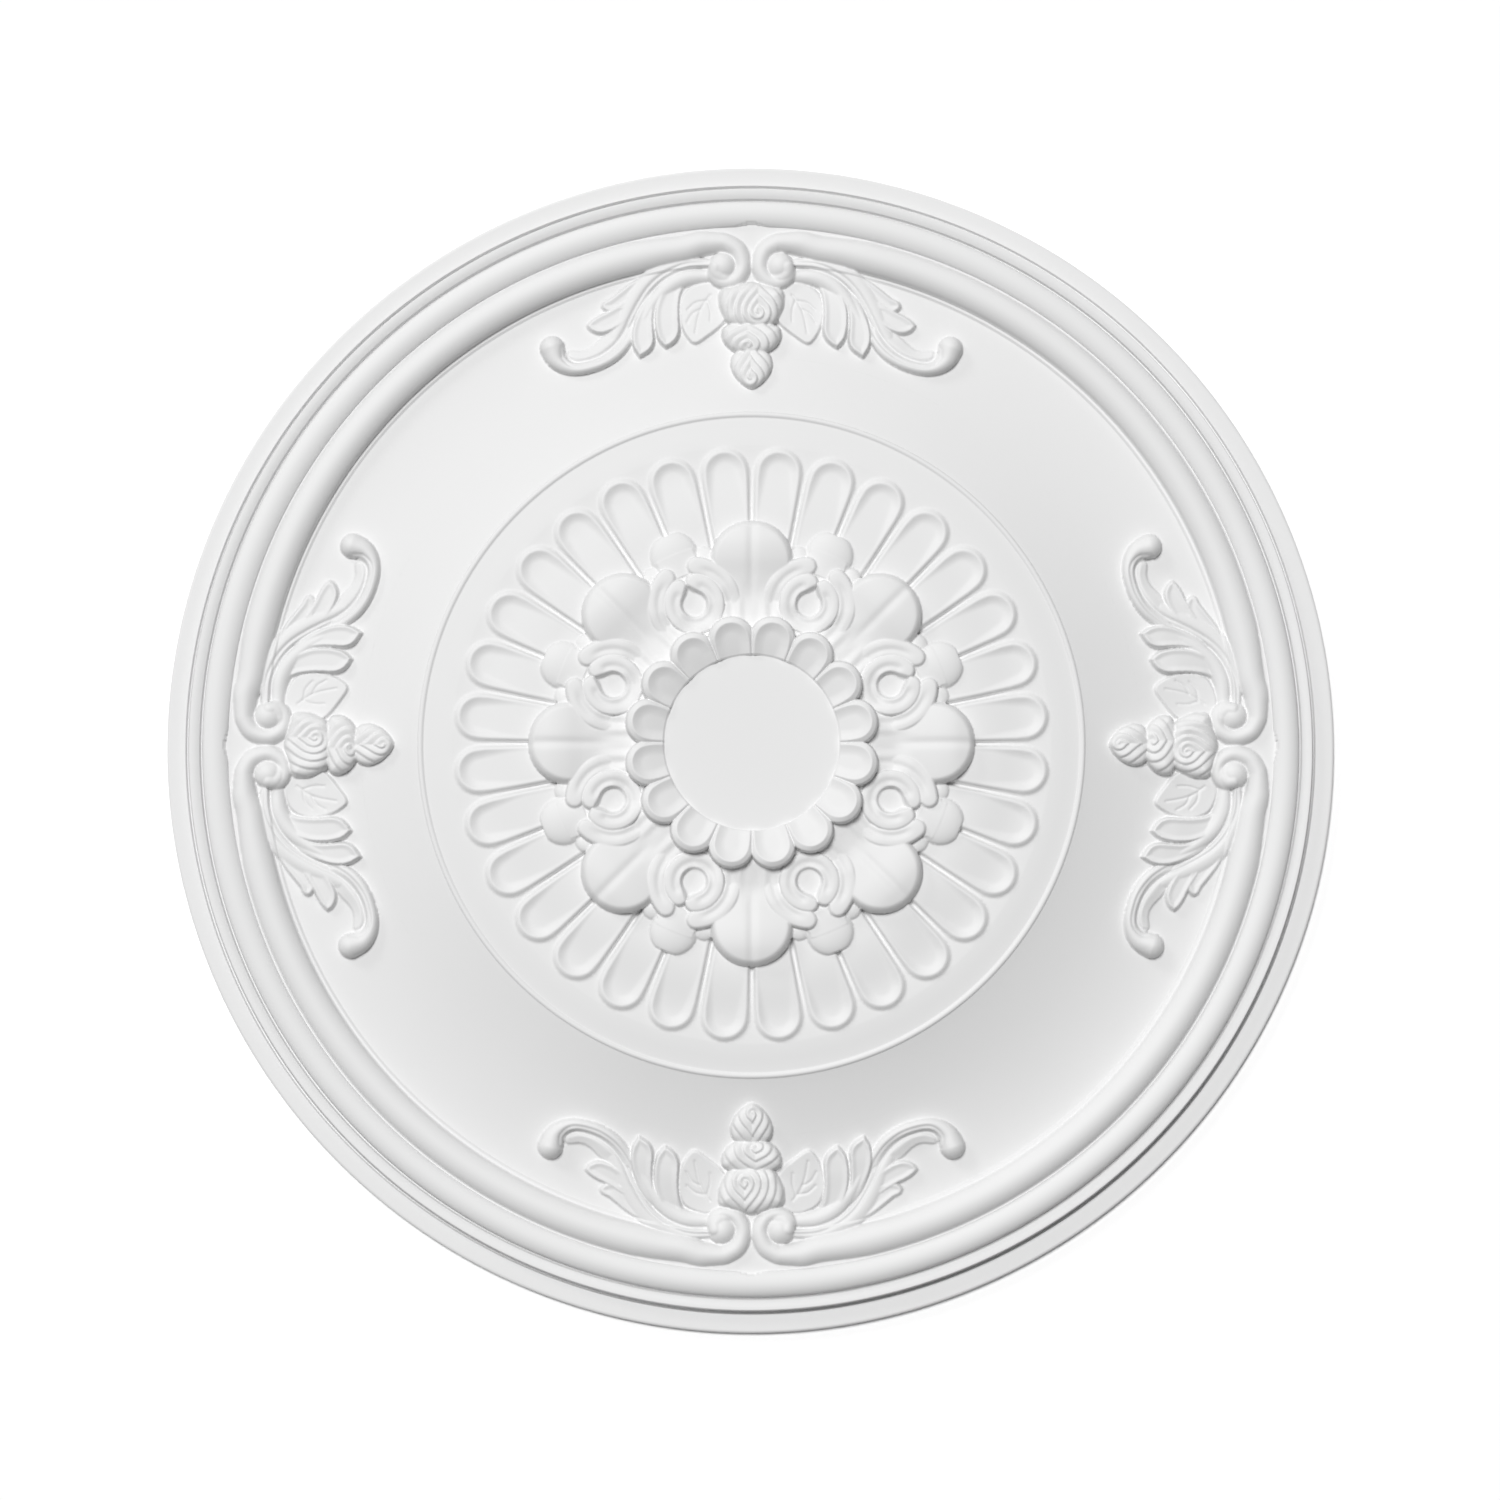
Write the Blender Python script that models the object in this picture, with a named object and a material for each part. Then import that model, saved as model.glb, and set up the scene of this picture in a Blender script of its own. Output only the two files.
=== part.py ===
"""Ceiling rose cast in one piece: moulded rim, four sprays, petal ring, acanthus ring and lobed collar.

Every length below is in millimetres and is turned into metres where the mesh is made. The flat
back lies on z = 0 with the middle of the rose over the origin, and the carved face looks up +Z.
The whole face is one height field, because a casting that leaves its mould in one pull has one
height over every point of its back. The field is worked out on a fine polar grid, which a
Decimate modifier then thins where the surface is plain.
"""
import bpy
import numpy as np

MILLIMETRE = 0.001

# Rim mouldings, from the outer edge inwards
OUTER_DIAMETER = 770.0
FLANGE_WIDTH = 15.0
FLANGE_THICKNESS = 6.0
FLANGE_EDGE_ROUND = 2.0
STEP_WIDTH = 9.5
STEP_RISE = 8.0
WALL_RUN = 1.6
TORUS_WIDTH = 16.9
TORUS_RISE = 7.0
VALLEY_WIDTH = 1.2
VALLEY_RISE = 2.0
BAND_WIDTH = 20.9
BAND_RISE = 8.0
LEDGE_WIDTH = 3.0
LEDGE_DROP = 2.0

# Middle group, from the hub outwards
HUB_RADIUS = 57.0
COLLAR_WIDTH = 26.2
ACANTHUS_WIDTH = 62.1
PETAL_REACH = 49.2
PLATEAU_WIDTH = 21.5
BEAD_WIDTH = 3.2
BEAD_RISE = 1.3

# Heights of the middle group, each over the one before
FIELD_DROP = 1.4
DOME_RISE = 23.4
PLATEAU_RISE = 2.5
PETAL_RIM_RISE = 3.2
ACANTHUS_RISE = 12.0
COLLAR_RISE = 11.0
HUB_RECESS = 10.5
PETAL_ROOT_RISE = 1.6
FOLD_GROUND_RISE = 4.0
COLLAR_FOOT_DROP = 2.0
HUB_LIP = 3.5

# What is repeated round the middle
SPRAY_COUNT = 4
PETAL_COUNT = 32
LEAF_COUNT = 8
LOBE_COUNT = 16

# Carving of the petals and lobes
PETAL_GAP = 2.0
PETAL_RIM_WIDTH = 3.1
PETAL_HOLLOW = 2.4
PETAL_HOLLOW_RUN = 7.0
LOBE_HEAD_RADIUS = 15.4
LOBE_RIM_WIDTH = 4.4
LOBE_RIM_DROP = 2.4
LOBE_WALL_RUN = 1.4
LOBE_SIDE_WIDTH = 1.8
LOBE_CREASE_DEPTH = 1.0
LOBE_CREASE_WIDTH = 1.4
LOBE_HOLLOW = 2.2
LOBE_HOLLOW_RUN = 7.0
LOBE_ROOT = 6.0
FIELD_CURVE = 1.8
HEAD_FULLNESS = 0.97

# Half the width of a spray, from its axis to the end of its curled tail
SPRAY_HALF_WIDTH = 139.7

# Mesh
RIM_SEGMENTS = 96
FINE_SEGMENTS = 1152
FINE_RING_STEP = 1.7
HUB_STITCH = 0.8
TRIANGLES = 9800

# Places that follow from the sizes above
OUTER_RADIUS = OUTER_DIAMETER / 2.0
STEP_RADIUS = OUTER_RADIUS - FLANGE_WIDTH
TORUS_RADIUS = STEP_RADIUS - STEP_WIDTH
VALLEY_RADIUS = TORUS_RADIUS - TORUS_WIDTH
BAND_RADIUS = VALLEY_RADIUS - VALLEY_WIDTH
LEDGE_RADIUS = BAND_RADIUS - BAND_WIDTH
FIELD_RADIUS = LEDGE_RADIUS - LEDGE_WIDTH
LOBE_TIP = HUB_RADIUS + COLLAR_WIDTH
LEAF_TIP = LOBE_TIP + ACANTHUS_WIDTH
PETAL_TIP = LEAF_TIP + PETAL_REACH
BEAD_RADIUS = PETAL_TIP + PLATEAU_WIDTH

STEP_HEIGHT = FLANGE_THICKNESS + STEP_RISE
VALLEY_HEIGHT = STEP_HEIGHT + VALLEY_RISE
LEDGE_HEIGHT = VALLEY_HEIGHT - LEDGE_DROP
FIELD_HEIGHT = LEDGE_HEIGHT - FIELD_DROP
BEAD_HEIGHT = FIELD_HEIGHT + DOME_RISE
PLATEAU_HEIGHT = BEAD_HEIGHT + PLATEAU_RISE
COLLAR_HEIGHT = PLATEAU_HEIGHT + ACANTHUS_RISE + COLLAR_RISE
HUB_HEIGHT = COLLAR_HEIGHT - HUB_RECESS

# Stands for "nothing here", well below the face
NOTHING = -50.0

# The left half of a spray as drawn: across from its axis, then out from the middle of the rose.
# A stroke's stations go on with its half width and its rise over the field. The drawing hangs
# from a band of this radius, reaches this far down from it and is scaled to the spray's size.
DRAWN_BAND = (342.4, 112.0)
LEAF_BLADES = (
    [(-27, 319, 3.4, 5), (-40, 319, 4, 5), (-52, 316.5, 5, 5), (-64, 310.5, 6.4, 5.2),
     (-73, 302, 7, 5.4), (-80, 291, 7, 5.4), (-85, 280, 6, 5), (-90, 270, 5, 4)],
    [(-24, 311, 4.5, 5), (-40, 310.5, 6.2, 6), (-50, 307, 6.5, 6), (-58, 301, 6, 6),
     (-65, 292.5, 5, 6), (-71, 282, 4.5, 5.5), (-77, 271, 3.8, 5)],
)
LEAF_LOBES = (
    [(-66, 311, 3, 3), (-76, 304, 5, 4.5), (-86, 297, 5.8, 5), (-93, 293.2, 4.3, 4.6), (-99.3, 291, 0.8, 4)],
    [(-74, 297, 3, 3), (-83, 287.5, 6, 5), (-92, 281, 7.2, 5.5), (-100, 277.4, 6, 5),
     (-105.5, 276.8, 3.2, 4.6), (-108.6, 277.2, 0.6, 4)],
    [(-45, 308, 3, 2), (-52, 300, 6.5, 5), (-55.5, 290, 8.3, 7), (-56.3, 281, 9, 8),
     (-56.3, 273, 8, 7.2), (-56.6, 266.5, 4.4, 6), (-56.4, 261.8, 0.5, 5)],
    [(-60, 304, 2.5, 2), (-66.5, 294, 4.5, 5), (-70.5, 283, 6.4, 6.5), (-72.4, 273, 8, 7.5),
     (-72.8, 266, 7, 7), (-73.5, 259.5, 3.8, 6), (-74, 255.2, 0.5, 5)],
)
CURLED_TAIL = [(-76, 279, 2.5, 3), (-83, 265.5, 3.6, 5), (-90, 257.5, 3.8, 6), (-100, 251.6, 3.8, 6.5),
               (-112, 248.2, 3.9, 7), (-121.5, 249.3, 4.6, 7.5), (-128.5, 254.5, 6.2, 9),
               (-131.5, 262.5, 8.2, 11)]
LEAF_WEB = [(-86, 279), (-92, 274.5), (-99, 270), (-106, 263.5), (-112, 261), (-121, 261), (-124, 255),
            (-112, 250), (-98, 254), (-87, 262), (-80, 275)]
MIDRIB = [(-24, 317.4), (-40, 317), (-50, 314), (-59, 309), (-66.5, 302), (-72.5, 293), (-78, 282.5),
          (-83, 271.5), (-89.5, 262.5), (-99, 255.3), (-110, 251.6), (-117.5, 251.4), (-122.5, 255.5),
          (-123.3, 261)]
FLAT_LEAF = [(-30, 307), (-20, 303), (-17, 292), (-17, 280), (-29, 269), (-37.5, 264.3), (-43.5, 270),
             (-47.5, 280), (-48, 292), (-43, 302)]

# Heights of the low parts of the drawing, each with the run of its edge
FLAT_LEAF_PLATE = (3.4, 2.4)
WEB_PLATE = (2.6, 1.2, 8.0)

# The midrib: half width and rise of its thread, then place, half width and depth of its grooves
MIDRIB_SECTION = (0.9, 0.8, 2.1, 0.8, 1.0)

# Each bloom: right half of its outline, core, spacing of its petals, rise, which way it winds,
# how far its petals are drawn out to a point and how much it is squashed across
BLOOMS = (
    ([(0, 262), (11, 258.5), (13.8, 250), (9.5, 240.5), (0, 233.8)], (-0.5, 240.5), 3.6, 9.0, 1, 0.5, 1.0),
    ([(0, 281), (17, 277), (19.6, 270), (16, 263), (8, 258.4)], (-2.5, 262.5), 3.1, 11.0, -1, 0.3, 0.72),
    ([(0, 307), (10, 304.6), (20.5, 301), (22, 293), (19.5, 285), (14, 277.5), (0, 275)],
     (4.5, 285), 3.3, 13.0, 1, 0.42, 1.0),
)

# Their petals' rise and the run of the edge of their dome
BLOOM_SECTION = (1.9, 10.0)

# The scroll's eye with the radius and rise of its ball. The band comes in along its own circle, by
# place across and half width, and winds round the eye by clockwise angle from up, radius and half width.
SCROLL_EYE = (-19.0, 316.8)
SCROLL_BALL = (9.6, 8.5)
SCROLL_LEAD = [(-92, 10.45), (-76, 10.45), (-60, 9.6), (-45, 9)]
SCROLL_TURNS = [(-45, 21.6, 8.4), (-30, 18.4, 7.6), (-10, 16.4, 6.9), (10, 15.5, 6.5), (45, 14.4, 5.9),
                (90, 13.2, 5.3), (135, 12, 4.9), (180, 10.7, 4.4), (225, 8.9, 3.9), (265, 6.6, 3.2)]

# Flat ground between the two scrolls: half its width and where it ends
SCROLL_GROUND = (16.0, 305.0)

# The acanthus ring as drawn, out from the collar's tips. The last station is the ring's width.
LEAF_CREST = [(-6, 1), (5, -0.7), (14, -1), (25, 1.2), (37, 4.2), (47, 4.8), (55, 3.2), (62.1, 0.4)]

# A big leaf: radius of its head, fall to its sides, depth of its crease, fall and run of its edge
LEAF_SECTION = (27.2, 2.8, 0.7, 6.5, 4.5)

# The eyelet: place out, radius of its lip, how far out its point reaches, run of its wall and depth
EYELET = (14.3, 9.6, 15.0, 3.6, 3.4)

# The two pairs of folds round it: radius, half width, opening each side, ground and rise. The edge
# of a fold is this share of its half width.
INNER_FOLD = (14.0, 6.4, 23.0, -3.0, 6.4)
OUTER_FOLD = (25.4, 5.6, 27.0, -2.4, 4.2)
FOLD_EDGE = 0.32

# The trefoil leaf beyond the folds, head then side: place out, radius, place across and rise
TREFOIL_HEAD = (49.2, 15.5, 0.0, 6.4)
TREFOIL_SIDE = (41.0, 6.8, 18.0, 4.0)

# The stem under the trefoil: half width, drop under the ring's top and fall to its sides
STEM_SECTION = (13.0, 1.4, 2.0)

# How far the outer folds sink beside the eyelet, where that starts and over how many degrees
OUTER_FOLD_FALL = (5.0, 55.0, 50.0)


def ramp(share):
    """An S-shaped step from 0 to 1 as the share goes from 0 to 1."""
    share = np.clip(share, 0.0, 1.0)
    return share * share * (3.0 - 2.0 * share)


def arch(share, fullness=0.5):
    """A rounded section: 1 in the middle and 0 where the share reaches 1 either way."""
    return np.clip(1.0 - share * share, 0.0, 1.0) ** fullness


def smooth_max(first, second, width):
    """The higher of two heights, with the crease between them filleted over a width."""
    mix = np.clip(0.5 + 0.5 * (first - second) / width, 0.0, 1.0)
    return second + (first - second) * mix + width * mix * (1.0 - mix)


def facing(x, y, count, turn=0.0):
    """Every point as seen from the nearest of count equal axes: across the axis, then out along it."""
    step = 2.0 * np.pi / count
    angle = np.arctan2(x, y) - turn
    angle = angle - step * np.round(angle / step)
    reach = np.hypot(x, y)
    return reach * np.sin(angle), reach * np.cos(angle)


def smooth_path(stations, steps=6, closed=False):
    """A Catmull-Rom curve through the stations, with every value they carry."""
    rows = np.array(stations, float)
    if closed:
        rows = np.vstack([rows[-1], rows, rows[0], rows[1]])
    else:
        rows = np.vstack([2 * rows[0] - rows[1], rows, 2 * rows[-1] - rows[-2]])
    t = np.linspace(0.0, 1.0, steps, endpoint=False)[:, None]
    runs = []
    for a, b, c, d in zip(rows, rows[1:], rows[2:], rows[3:]):
        bend = (2 * a - 5 * b + 4 * c - d) * t ** 2 + (3 * b - a - 3 * c + d) * t ** 3
        runs.append(0.5 * (2 * b + (c - a) * t + bend))
    if not closed:
        runs.append(rows[-2:-1])
    return np.vstack(runs)


def foot_on(x, y, a, b):
    """Share along the line from a to b of the point nearest to each (x, y), and the distance to it."""
    run, climb = b[0] - a[0], b[1] - a[1]
    length = max(run * run + climb * climb, 1e-9)
    share = np.clip(((x - a[0]) * run + (y - a[1]) * climb) / length, 0.0, 1.0)
    return share, np.hypot(x - a[0] - share * run, y - a[1] - share * climb)


def stroke(x, y, path):
    """Share of the half width at which each point lies from a path, with the half width and rise there."""
    nearest = np.full(x.shape, 1e9)
    half_width = np.zeros(x.shape)
    rise = np.zeros(x.shape)
    for a, b in zip(path, path[1:]):
        share, distance = foot_on(x, y, a, b)
        width_here = np.maximum(a[2] + share * (b[2] - a[2]), 0.2)
        closer = distance / width_here < nearest
        nearest = np.where(closer, distance / width_here, nearest)
        half_width = np.where(closer, width_here, half_width)
        rise = np.where(closer, a[3] + share * (b[3] - a[3]), rise)
    return nearest, half_width, rise


def stroke_height(x, y, stations, fullness=0.55):
    """A rounded, tapering stroke that follows its stations, and nothing outside it."""
    nearest, _, rise = stroke(x, y, smooth_path(stations))
    return np.where(nearest < 1.0, rise * arch(nearest, fullness), NOTHING)


def depth_inside(x, y, corners):
    """How far each point lies inside a smooth closed outline, negative outside it."""
    path = smooth_path(corners, closed=True)
    nearest = np.full(x.shape, 1e9)
    inside = np.zeros(x.shape, bool)
    for a, b in zip(path, np.roll(path, -1, axis=0)):
        _, distance = foot_on(x, y, a, b)
        nearest = np.minimum(nearest, distance)
        if a[1] != b[1]:
            crossing = a[0] + (b[0] - a[0]) * (y - a[1]) / (b[1] - a[1])
            inside ^= ((a[1] > y) != (b[1] > y)) & (x < crossing)
    return np.where(inside, nearest, -nearest)


def flange_height(radius):
    """The flat outer ring, with its edge rounded over."""
    into_round = np.clip((radius - OUTER_RADIUS + FLANGE_EDGE_ROUND) / FLANGE_EDGE_ROUND, 0.0, 1.0)
    return FLANGE_THICKNESS - FLANGE_EDGE_ROUND * (1.0 - arch(into_round))


def turned_height(radius):
    """The form under the carving, turned from the edge to the middle."""
    height = flange_height(radius) + STEP_RISE * ramp((STEP_RADIUS - radius) / WALL_RUN + 0.5)
    middle = (TORUS_RADIUS + VALLEY_RADIUS) / 2.0
    foot = np.where(radius > middle, STEP_HEIGHT, VALLEY_HEIGHT)
    torus = foot + (STEP_HEIGHT + TORUS_RISE - foot) * arch((radius - middle) / (TORUS_WIDTH / 2.0))
    height = np.where(radius < TORUS_RADIUS, torus, height)
    height = np.where(radius < VALLEY_RADIUS, VALLEY_HEIGHT, height)
    height = np.where(radius < BAND_RADIUS - BAND_WIDTH / 2.0, LEDGE_HEIGHT, height)
    climb = np.clip((FIELD_RADIUS - radius) / (FIELD_RADIUS - BEAD_RADIUS), 0.0, 1.0)
    height = np.where(radius < FIELD_RADIUS, FIELD_HEIGHT + DOME_RISE * climb ** FIELD_CURVE, height)
    plateau = BEAD_HEIGHT + PLATEAU_RISE * ramp((BEAD_RADIUS - radius) / PLATEAU_WIDTH)
    height = np.where(radius < BEAD_RADIUS, plateau, height)
    bead = BEAD_HEIGHT + BEAD_RISE * arch((radius - BEAD_RADIUS) / (BEAD_WIDTH / 2.0))
    return np.where(np.abs(radius - BEAD_RADIUS) < BEAD_WIDTH / 2.0, np.maximum(height, bead), height)


def band_section(nearest, half_width):
    """Height of the scroll band at a share of its half width, lower where the band is narrower."""
    fullness = 0.35 + 0.65 * np.sqrt(np.clip(half_width / (BAND_WIDTH / 2.0), 0.0, 1.0))
    height = LEDGE_HEIGHT + (BAND_RISE + LEDGE_DROP) * fullness * arch(nearest, 0.55)
    return np.where(nearest < 1.0, height, NOTHING)


def spray_scale():
    """How much larger the spray is than it is drawn: the drawing ends with the ball of its curled tail."""
    tail_end = CURLED_TAIL[-1]
    return SPRAY_HALF_WIDTH / (tail_end[2] - tail_end[0])


def spray_place(x, y):
    """Points of the face in the spray's drawing, which hangs from the band's outer edge."""
    return x / spray_scale(), DRAWN_BAND[0] + (y - BAND_RADIUS) / spray_scale()


def scroll_path():
    """Middle line of the band, from the ring round the scroll's eye, in the spray's drawing."""
    middle = DRAWN_BAND[0] - BAND_WIDTH / 2.0 / spray_scale()
    stations = [(x, np.sqrt(middle ** 2 - x ** 2), half_width, 1.0) for x, half_width in SCROLL_LEAD]
    for clockwise, radius, half_width in SCROLL_TURNS:
        angle = np.radians(clockwise)
        x = SCROLL_EYE[0] + radius * np.sin(angle)
        y = SCROLL_EYE[1] + radius * np.cos(angle)
        stations.append((x, y, half_width, 1.0))
    return smooth_path(stations)


def band_height(x, y):
    """The half-round ring of the scroll band, which ends where the scrolls of a spray take over."""
    radius = np.hypot(x, y)
    half_width = BAND_WIDTH / 2.0
    nearest = np.abs(radius - BAND_RADIUS + half_width) / half_width
    plain = np.abs(x) > -SCROLL_LEAD[1][0] * spray_scale()
    return np.where(plain, band_section(nearest, np.full(x.shape, half_width)), NOTHING)


def scroll_height(x, y):
    """The left scroll: the band wound round a ball, into which its end runs."""
    nearest, half_width, _ = stroke(x, y, scroll_path())
    band = band_section(nearest, half_width * spray_scale())
    ball_radius, ball_rise = SCROLL_BALL
    across, along = x - SCROLL_EYE[0], y - SCROLL_EYE[1]
    away = np.hypot(across, along) / ball_radius
    ball = LEDGE_HEIGHT + (spray_scale() * ball_rise + LEDGE_DROP) * arch(away)
    clockwise = np.degrees(np.arctan2(across, along)) % 360.0
    merged = ramp((clockwise - 110.0) / 70.0) * ramp((315.0 - clockwise) / 25.0)
    return np.where(away < 1.5, smooth_max(band, ball, 0.3 + BAND_RISE * merged), band)


def bloom_height(x, y, outline, core, spacing, rise, hand, cusp, squash):
    """A domed flower head whose petals wind out from its core and are drawn out to a point."""
    petal_rise, edge_run = BLOOM_SECTION
    left = [(-px, py) for px, py in outline[::-1] if px > 0]
    depth = depth_inside(x, y, outline + left)
    across, along = squash * (x - core[0]), y - core[1]
    turn = np.arctan2(across, along)
    reach = np.hypot(across, along) * (1.0 - cusp * np.exp(-np.abs(turn) / 0.5))
    phase = (reach / spacing) ** 0.85 - hand * turn / (2.0 * np.pi)
    saw = phase - np.floor(phase)
    petal = petal_rise * (np.minimum(saw / 0.75, (1.0 - saw) / 0.25) - 0.5) * ramp(reach / spacing + 0.3)
    dome = rise * arch(1.0 - np.clip(depth / edge_run, 0.0, 1.0), 0.38)
    return np.where(depth > 0.0, dome + petal * ramp(5.0 * depth / edge_run), NOTHING)


def leaf_height(x, y):
    """The left acanthus leaf of a spray over the field: blades, lobes, web, curled tail and midrib."""
    leaf = np.full(x.shape, NOTHING)
    for stations in LEAF_BLADES:
        leaf = smooth_max(leaf, stroke_height(x, y, stations, 0.6), 1.2)
    for stations in LEAF_LOBES:
        leaf = np.maximum(leaf, stroke_height(x, y, stations, 0.38))
    leaf = np.maximum(leaf, stroke_height(x, y, CURLED_TAIL, 0.48))
    rise, lip, run = WEB_PLATE
    web = depth_inside(x, y, LEAF_WEB)
    leaf = np.maximum(leaf, np.where(web > 0.0, lip + rise * ramp(web / run), NOTHING))
    thread_width, thread_rise, groove_place, groove_width, groove_depth = MIDRIB_SECTION
    rib = [(px, py, 1.0, 1.0) for px, py in smooth_path(MIDRIB)]
    away, _, _ = stroke(x, y, rib)
    thread = thread_rise * np.exp(-((away / thread_width) ** 2))
    groove = groove_depth * np.exp(-(((away - groove_place) / groove_width) ** 2))
    return leaf + thread - groove


def spray_height(x, y, ground):
    """Two scrolls, two leaves, two flat leaves and three flower heads over the field."""
    px, py = spray_place(x, y)
    left = -np.abs(px)
    scale = spray_scale()
    height = ground + scale * leaf_height(left, py)
    rise, run = FLAT_LEAF_PLATE
    flat = depth_inside(left, py, FLAT_LEAF)
    plate = ground + scale * rise * ramp(flat / run + 0.15)
    height = np.maximum(height, np.where(flat > 0.0, plate, NOTHING))
    between = (left > -SCROLL_GROUND[0]) & (py > SCROLL_GROUND[1])
    height = np.maximum(height, np.where(between, VALLEY_HEIGHT, NOTHING))
    height = np.maximum(height, scroll_height(left, py))
    for bloom in BLOOMS:
        height = np.maximum(height, ground + scale * bloom_height(px, py, *bloom))
    return height


def depth_in_head(x, y, count, tip, gap):
    """Depth inside one of count round-headed petals that share a circle, gap apart, tips out."""
    across, out = facing(x, y, count, np.pi / count)
    radius = np.hypot(x, y)
    to_side = np.pi / count - np.abs(np.arctan2(across, out))
    side = radius * np.sin(to_side) - gap / 2.0
    half_pitch = np.sin(np.pi / count)
    head_radius = HEAD_FULLNESS * (tip * half_pitch - gap / 2.0) / (1.0 + half_pitch)
    head = head_radius - np.hypot(across, np.maximum(out - (tip - head_radius), 0.0))
    return np.minimum(side, head), out


def petal_height(x, y):
    """The ring of spoon-shaped petals, each with a rounded rim round its hollow."""
    depth, out = depth_in_head(x, y, PETAL_COUNT, PETAL_TIP, PETAL_GAP)
    toward_tip = ramp((out - LEAF_TIP) / (0.8 * PETAL_REACH))
    crest = PETAL_RIM_WIDTH * (0.6 + 0.4 * toward_tip)
    slope = np.clip(depth / crest, 0.0, 1.0)
    into = np.clip((depth - crest) / (PETAL_HOLLOW_RUN * (0.3 + 0.7 * toward_tip)), 0.0, 1.0)
    hollow = PETAL_HOLLOW * (0.2 + 0.8 * toward_tip) * np.sin(np.pi / 2.0 * into)
    section = PETAL_RIM_RISE * (0.6 * slope + 0.4 * arch(1.0 - slope)) - hollow
    height = PLATEAU_HEIGHT + PETAL_ROOT_RISE * (1.0 - toward_tip) + section
    return np.where((depth > 0.0) & (out > LOBE_TIP), height, NOTHING)


def big_leaf_height(x, y, top, scale):
    """A broad acanthus leaf: round head, a dip behind the collar, a crest and a light crease."""
    head, side_fall, crease_depth, edge_fall, edge_run = LEAF_SECTION
    across, out = facing(x, y, LEAF_COUNT)
    across = across / scale
    short_of_tip = (LEAF_TIP - out) / scale
    depth = head - np.hypot(across, np.maximum(head - short_of_tip, 0.0))
    crest = smooth_path(LEAF_CREST)
    along = np.interp((out - LOBE_TIP) / scale, crest[:, 0], crest[:, 1])
    crease = crease_depth * np.exp(-np.abs(across) / 1.6)
    edge = edge_fall * (1.0 - np.clip(depth / edge_run, 0.0, 1.0)) ** 2
    surface = top + scale * (along - side_fall * (across / head) ** 2 - crease - edge)
    return np.where((depth > 0.0) & (out > LOBE_TIP - COLLAR_WIDTH / 2.0), surface, NOTHING)


def dome_height(across, out, shape, ground):
    """A low rounded leaf tip: how far out it sits, its radius, its place across and its rise."""
    place, radius, aside, rise = shape
    away = np.hypot(across - aside, out - place) / radius
    return np.where(away < 1.0, ground + rise * arch(away, 0.4), NOTHING)


def fold_height(across, along, fold):
    """A flat-topped fold bent round the eyelet and open towards the eyelet's point."""
    radius, half_width, opening, ground, rise = fold
    way = np.maximum(np.arctan2(across, along), np.radians(opening))
    nearest = np.hypot(across - radius * np.sin(way), along - radius * np.cos(way)) / half_width
    edge = arch(1.0 - np.clip((1.0 - nearest) / FOLD_EDGE, 0.0, 1.0), 0.6)
    section = 0.85 * edge + 0.15 * arch(nearest, 1.0)
    return np.where(nearest < 1.0, ground + rise * section, NOTHING)


def depth_in_eyelet(across, along):
    """How far a drawn point lies inside the eyelet's lip, a circle drawn out to a point."""
    _, lip_radius, point, _, _ = EYELET
    lean = np.arcsin(lip_radius / point)
    beside_point = across * np.cos(lean) + (along - point) * np.sin(lean)
    beside_circle = np.hypot(across, along) - lip_radius
    towards_point = np.arctan2(across, along) < np.pi / 2.0 - lean
    return -np.where(towards_point, beside_point, beside_circle)


def ringed(across, along):
    """Whether a drawn point lies inside the inner pair of folds."""
    radius, half_width = INNER_FOLD[:2]
    return np.hypot(across, along) < radius + half_width * (1.0 - FOLD_EDGE / 3.0)


def eyelet_height(across, out, ground):
    """Drawn height over the ring of a trefoil leaf, two pairs of folds and the pointed eyelet they ring."""
    place, _, _, wall_run, hole_depth = EYELET
    along = out - place
    height = dome_height(across, out, TREFOIL_HEAD, ground)
    height = np.maximum(height, dome_height(across, out, TREFOIL_SIDE, ground))
    stem = (across < STEM_SECTION[0]) & (out < TREFOIL_HEAD[0]) & (along > 0.0)
    stem_top = -STEM_SECTION[1] - STEM_SECTION[2] * (across / STEM_SECTION[0]) ** 2
    height = np.maximum(height, np.where(stem, stem_top, NOTHING))
    way = np.degrees(np.arctan2(across, along))
    sinking = OUTER_FOLD_FALL[0] * ramp((way - OUTER_FOLD_FALL[1]) / OUTER_FOLD_FALL[2])
    height = np.maximum(height, fold_height(across, along, OUTER_FOLD) - sinking)
    inner = np.maximum(fold_height(across, along, INNER_FOLD), INNER_FOLD[3])
    height = np.where(ringed(across, along), inner, height)
    hole = ramp(depth_in_eyelet(across, along) / wall_run)
    return height - (height + hole_depth) * hole


def acanthus_height(x, y):
    """The ring of big leaves with an eyelet between each two."""
    top = PLATEAU_HEIGHT + ACANTHUS_RISE
    scale = ACANTHUS_WIDTH / LEAF_CREST[-1][0]
    leaf = big_leaf_height(x, y, top, scale)
    across, out = facing(x, y, LEAF_COUNT, np.pi / LEAF_COUNT)
    across = np.abs(across) / scale
    out = (out - LOBE_TIP) / scale
    ground = (FOLD_GROUND_RISE - ACANTHUS_RISE) / scale
    eyelet = top + scale * eyelet_height(across, out, ground)
    return np.where(ringed(across, out - EYELET[0]), eyelet, np.maximum(leaf, eyelet))


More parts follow.
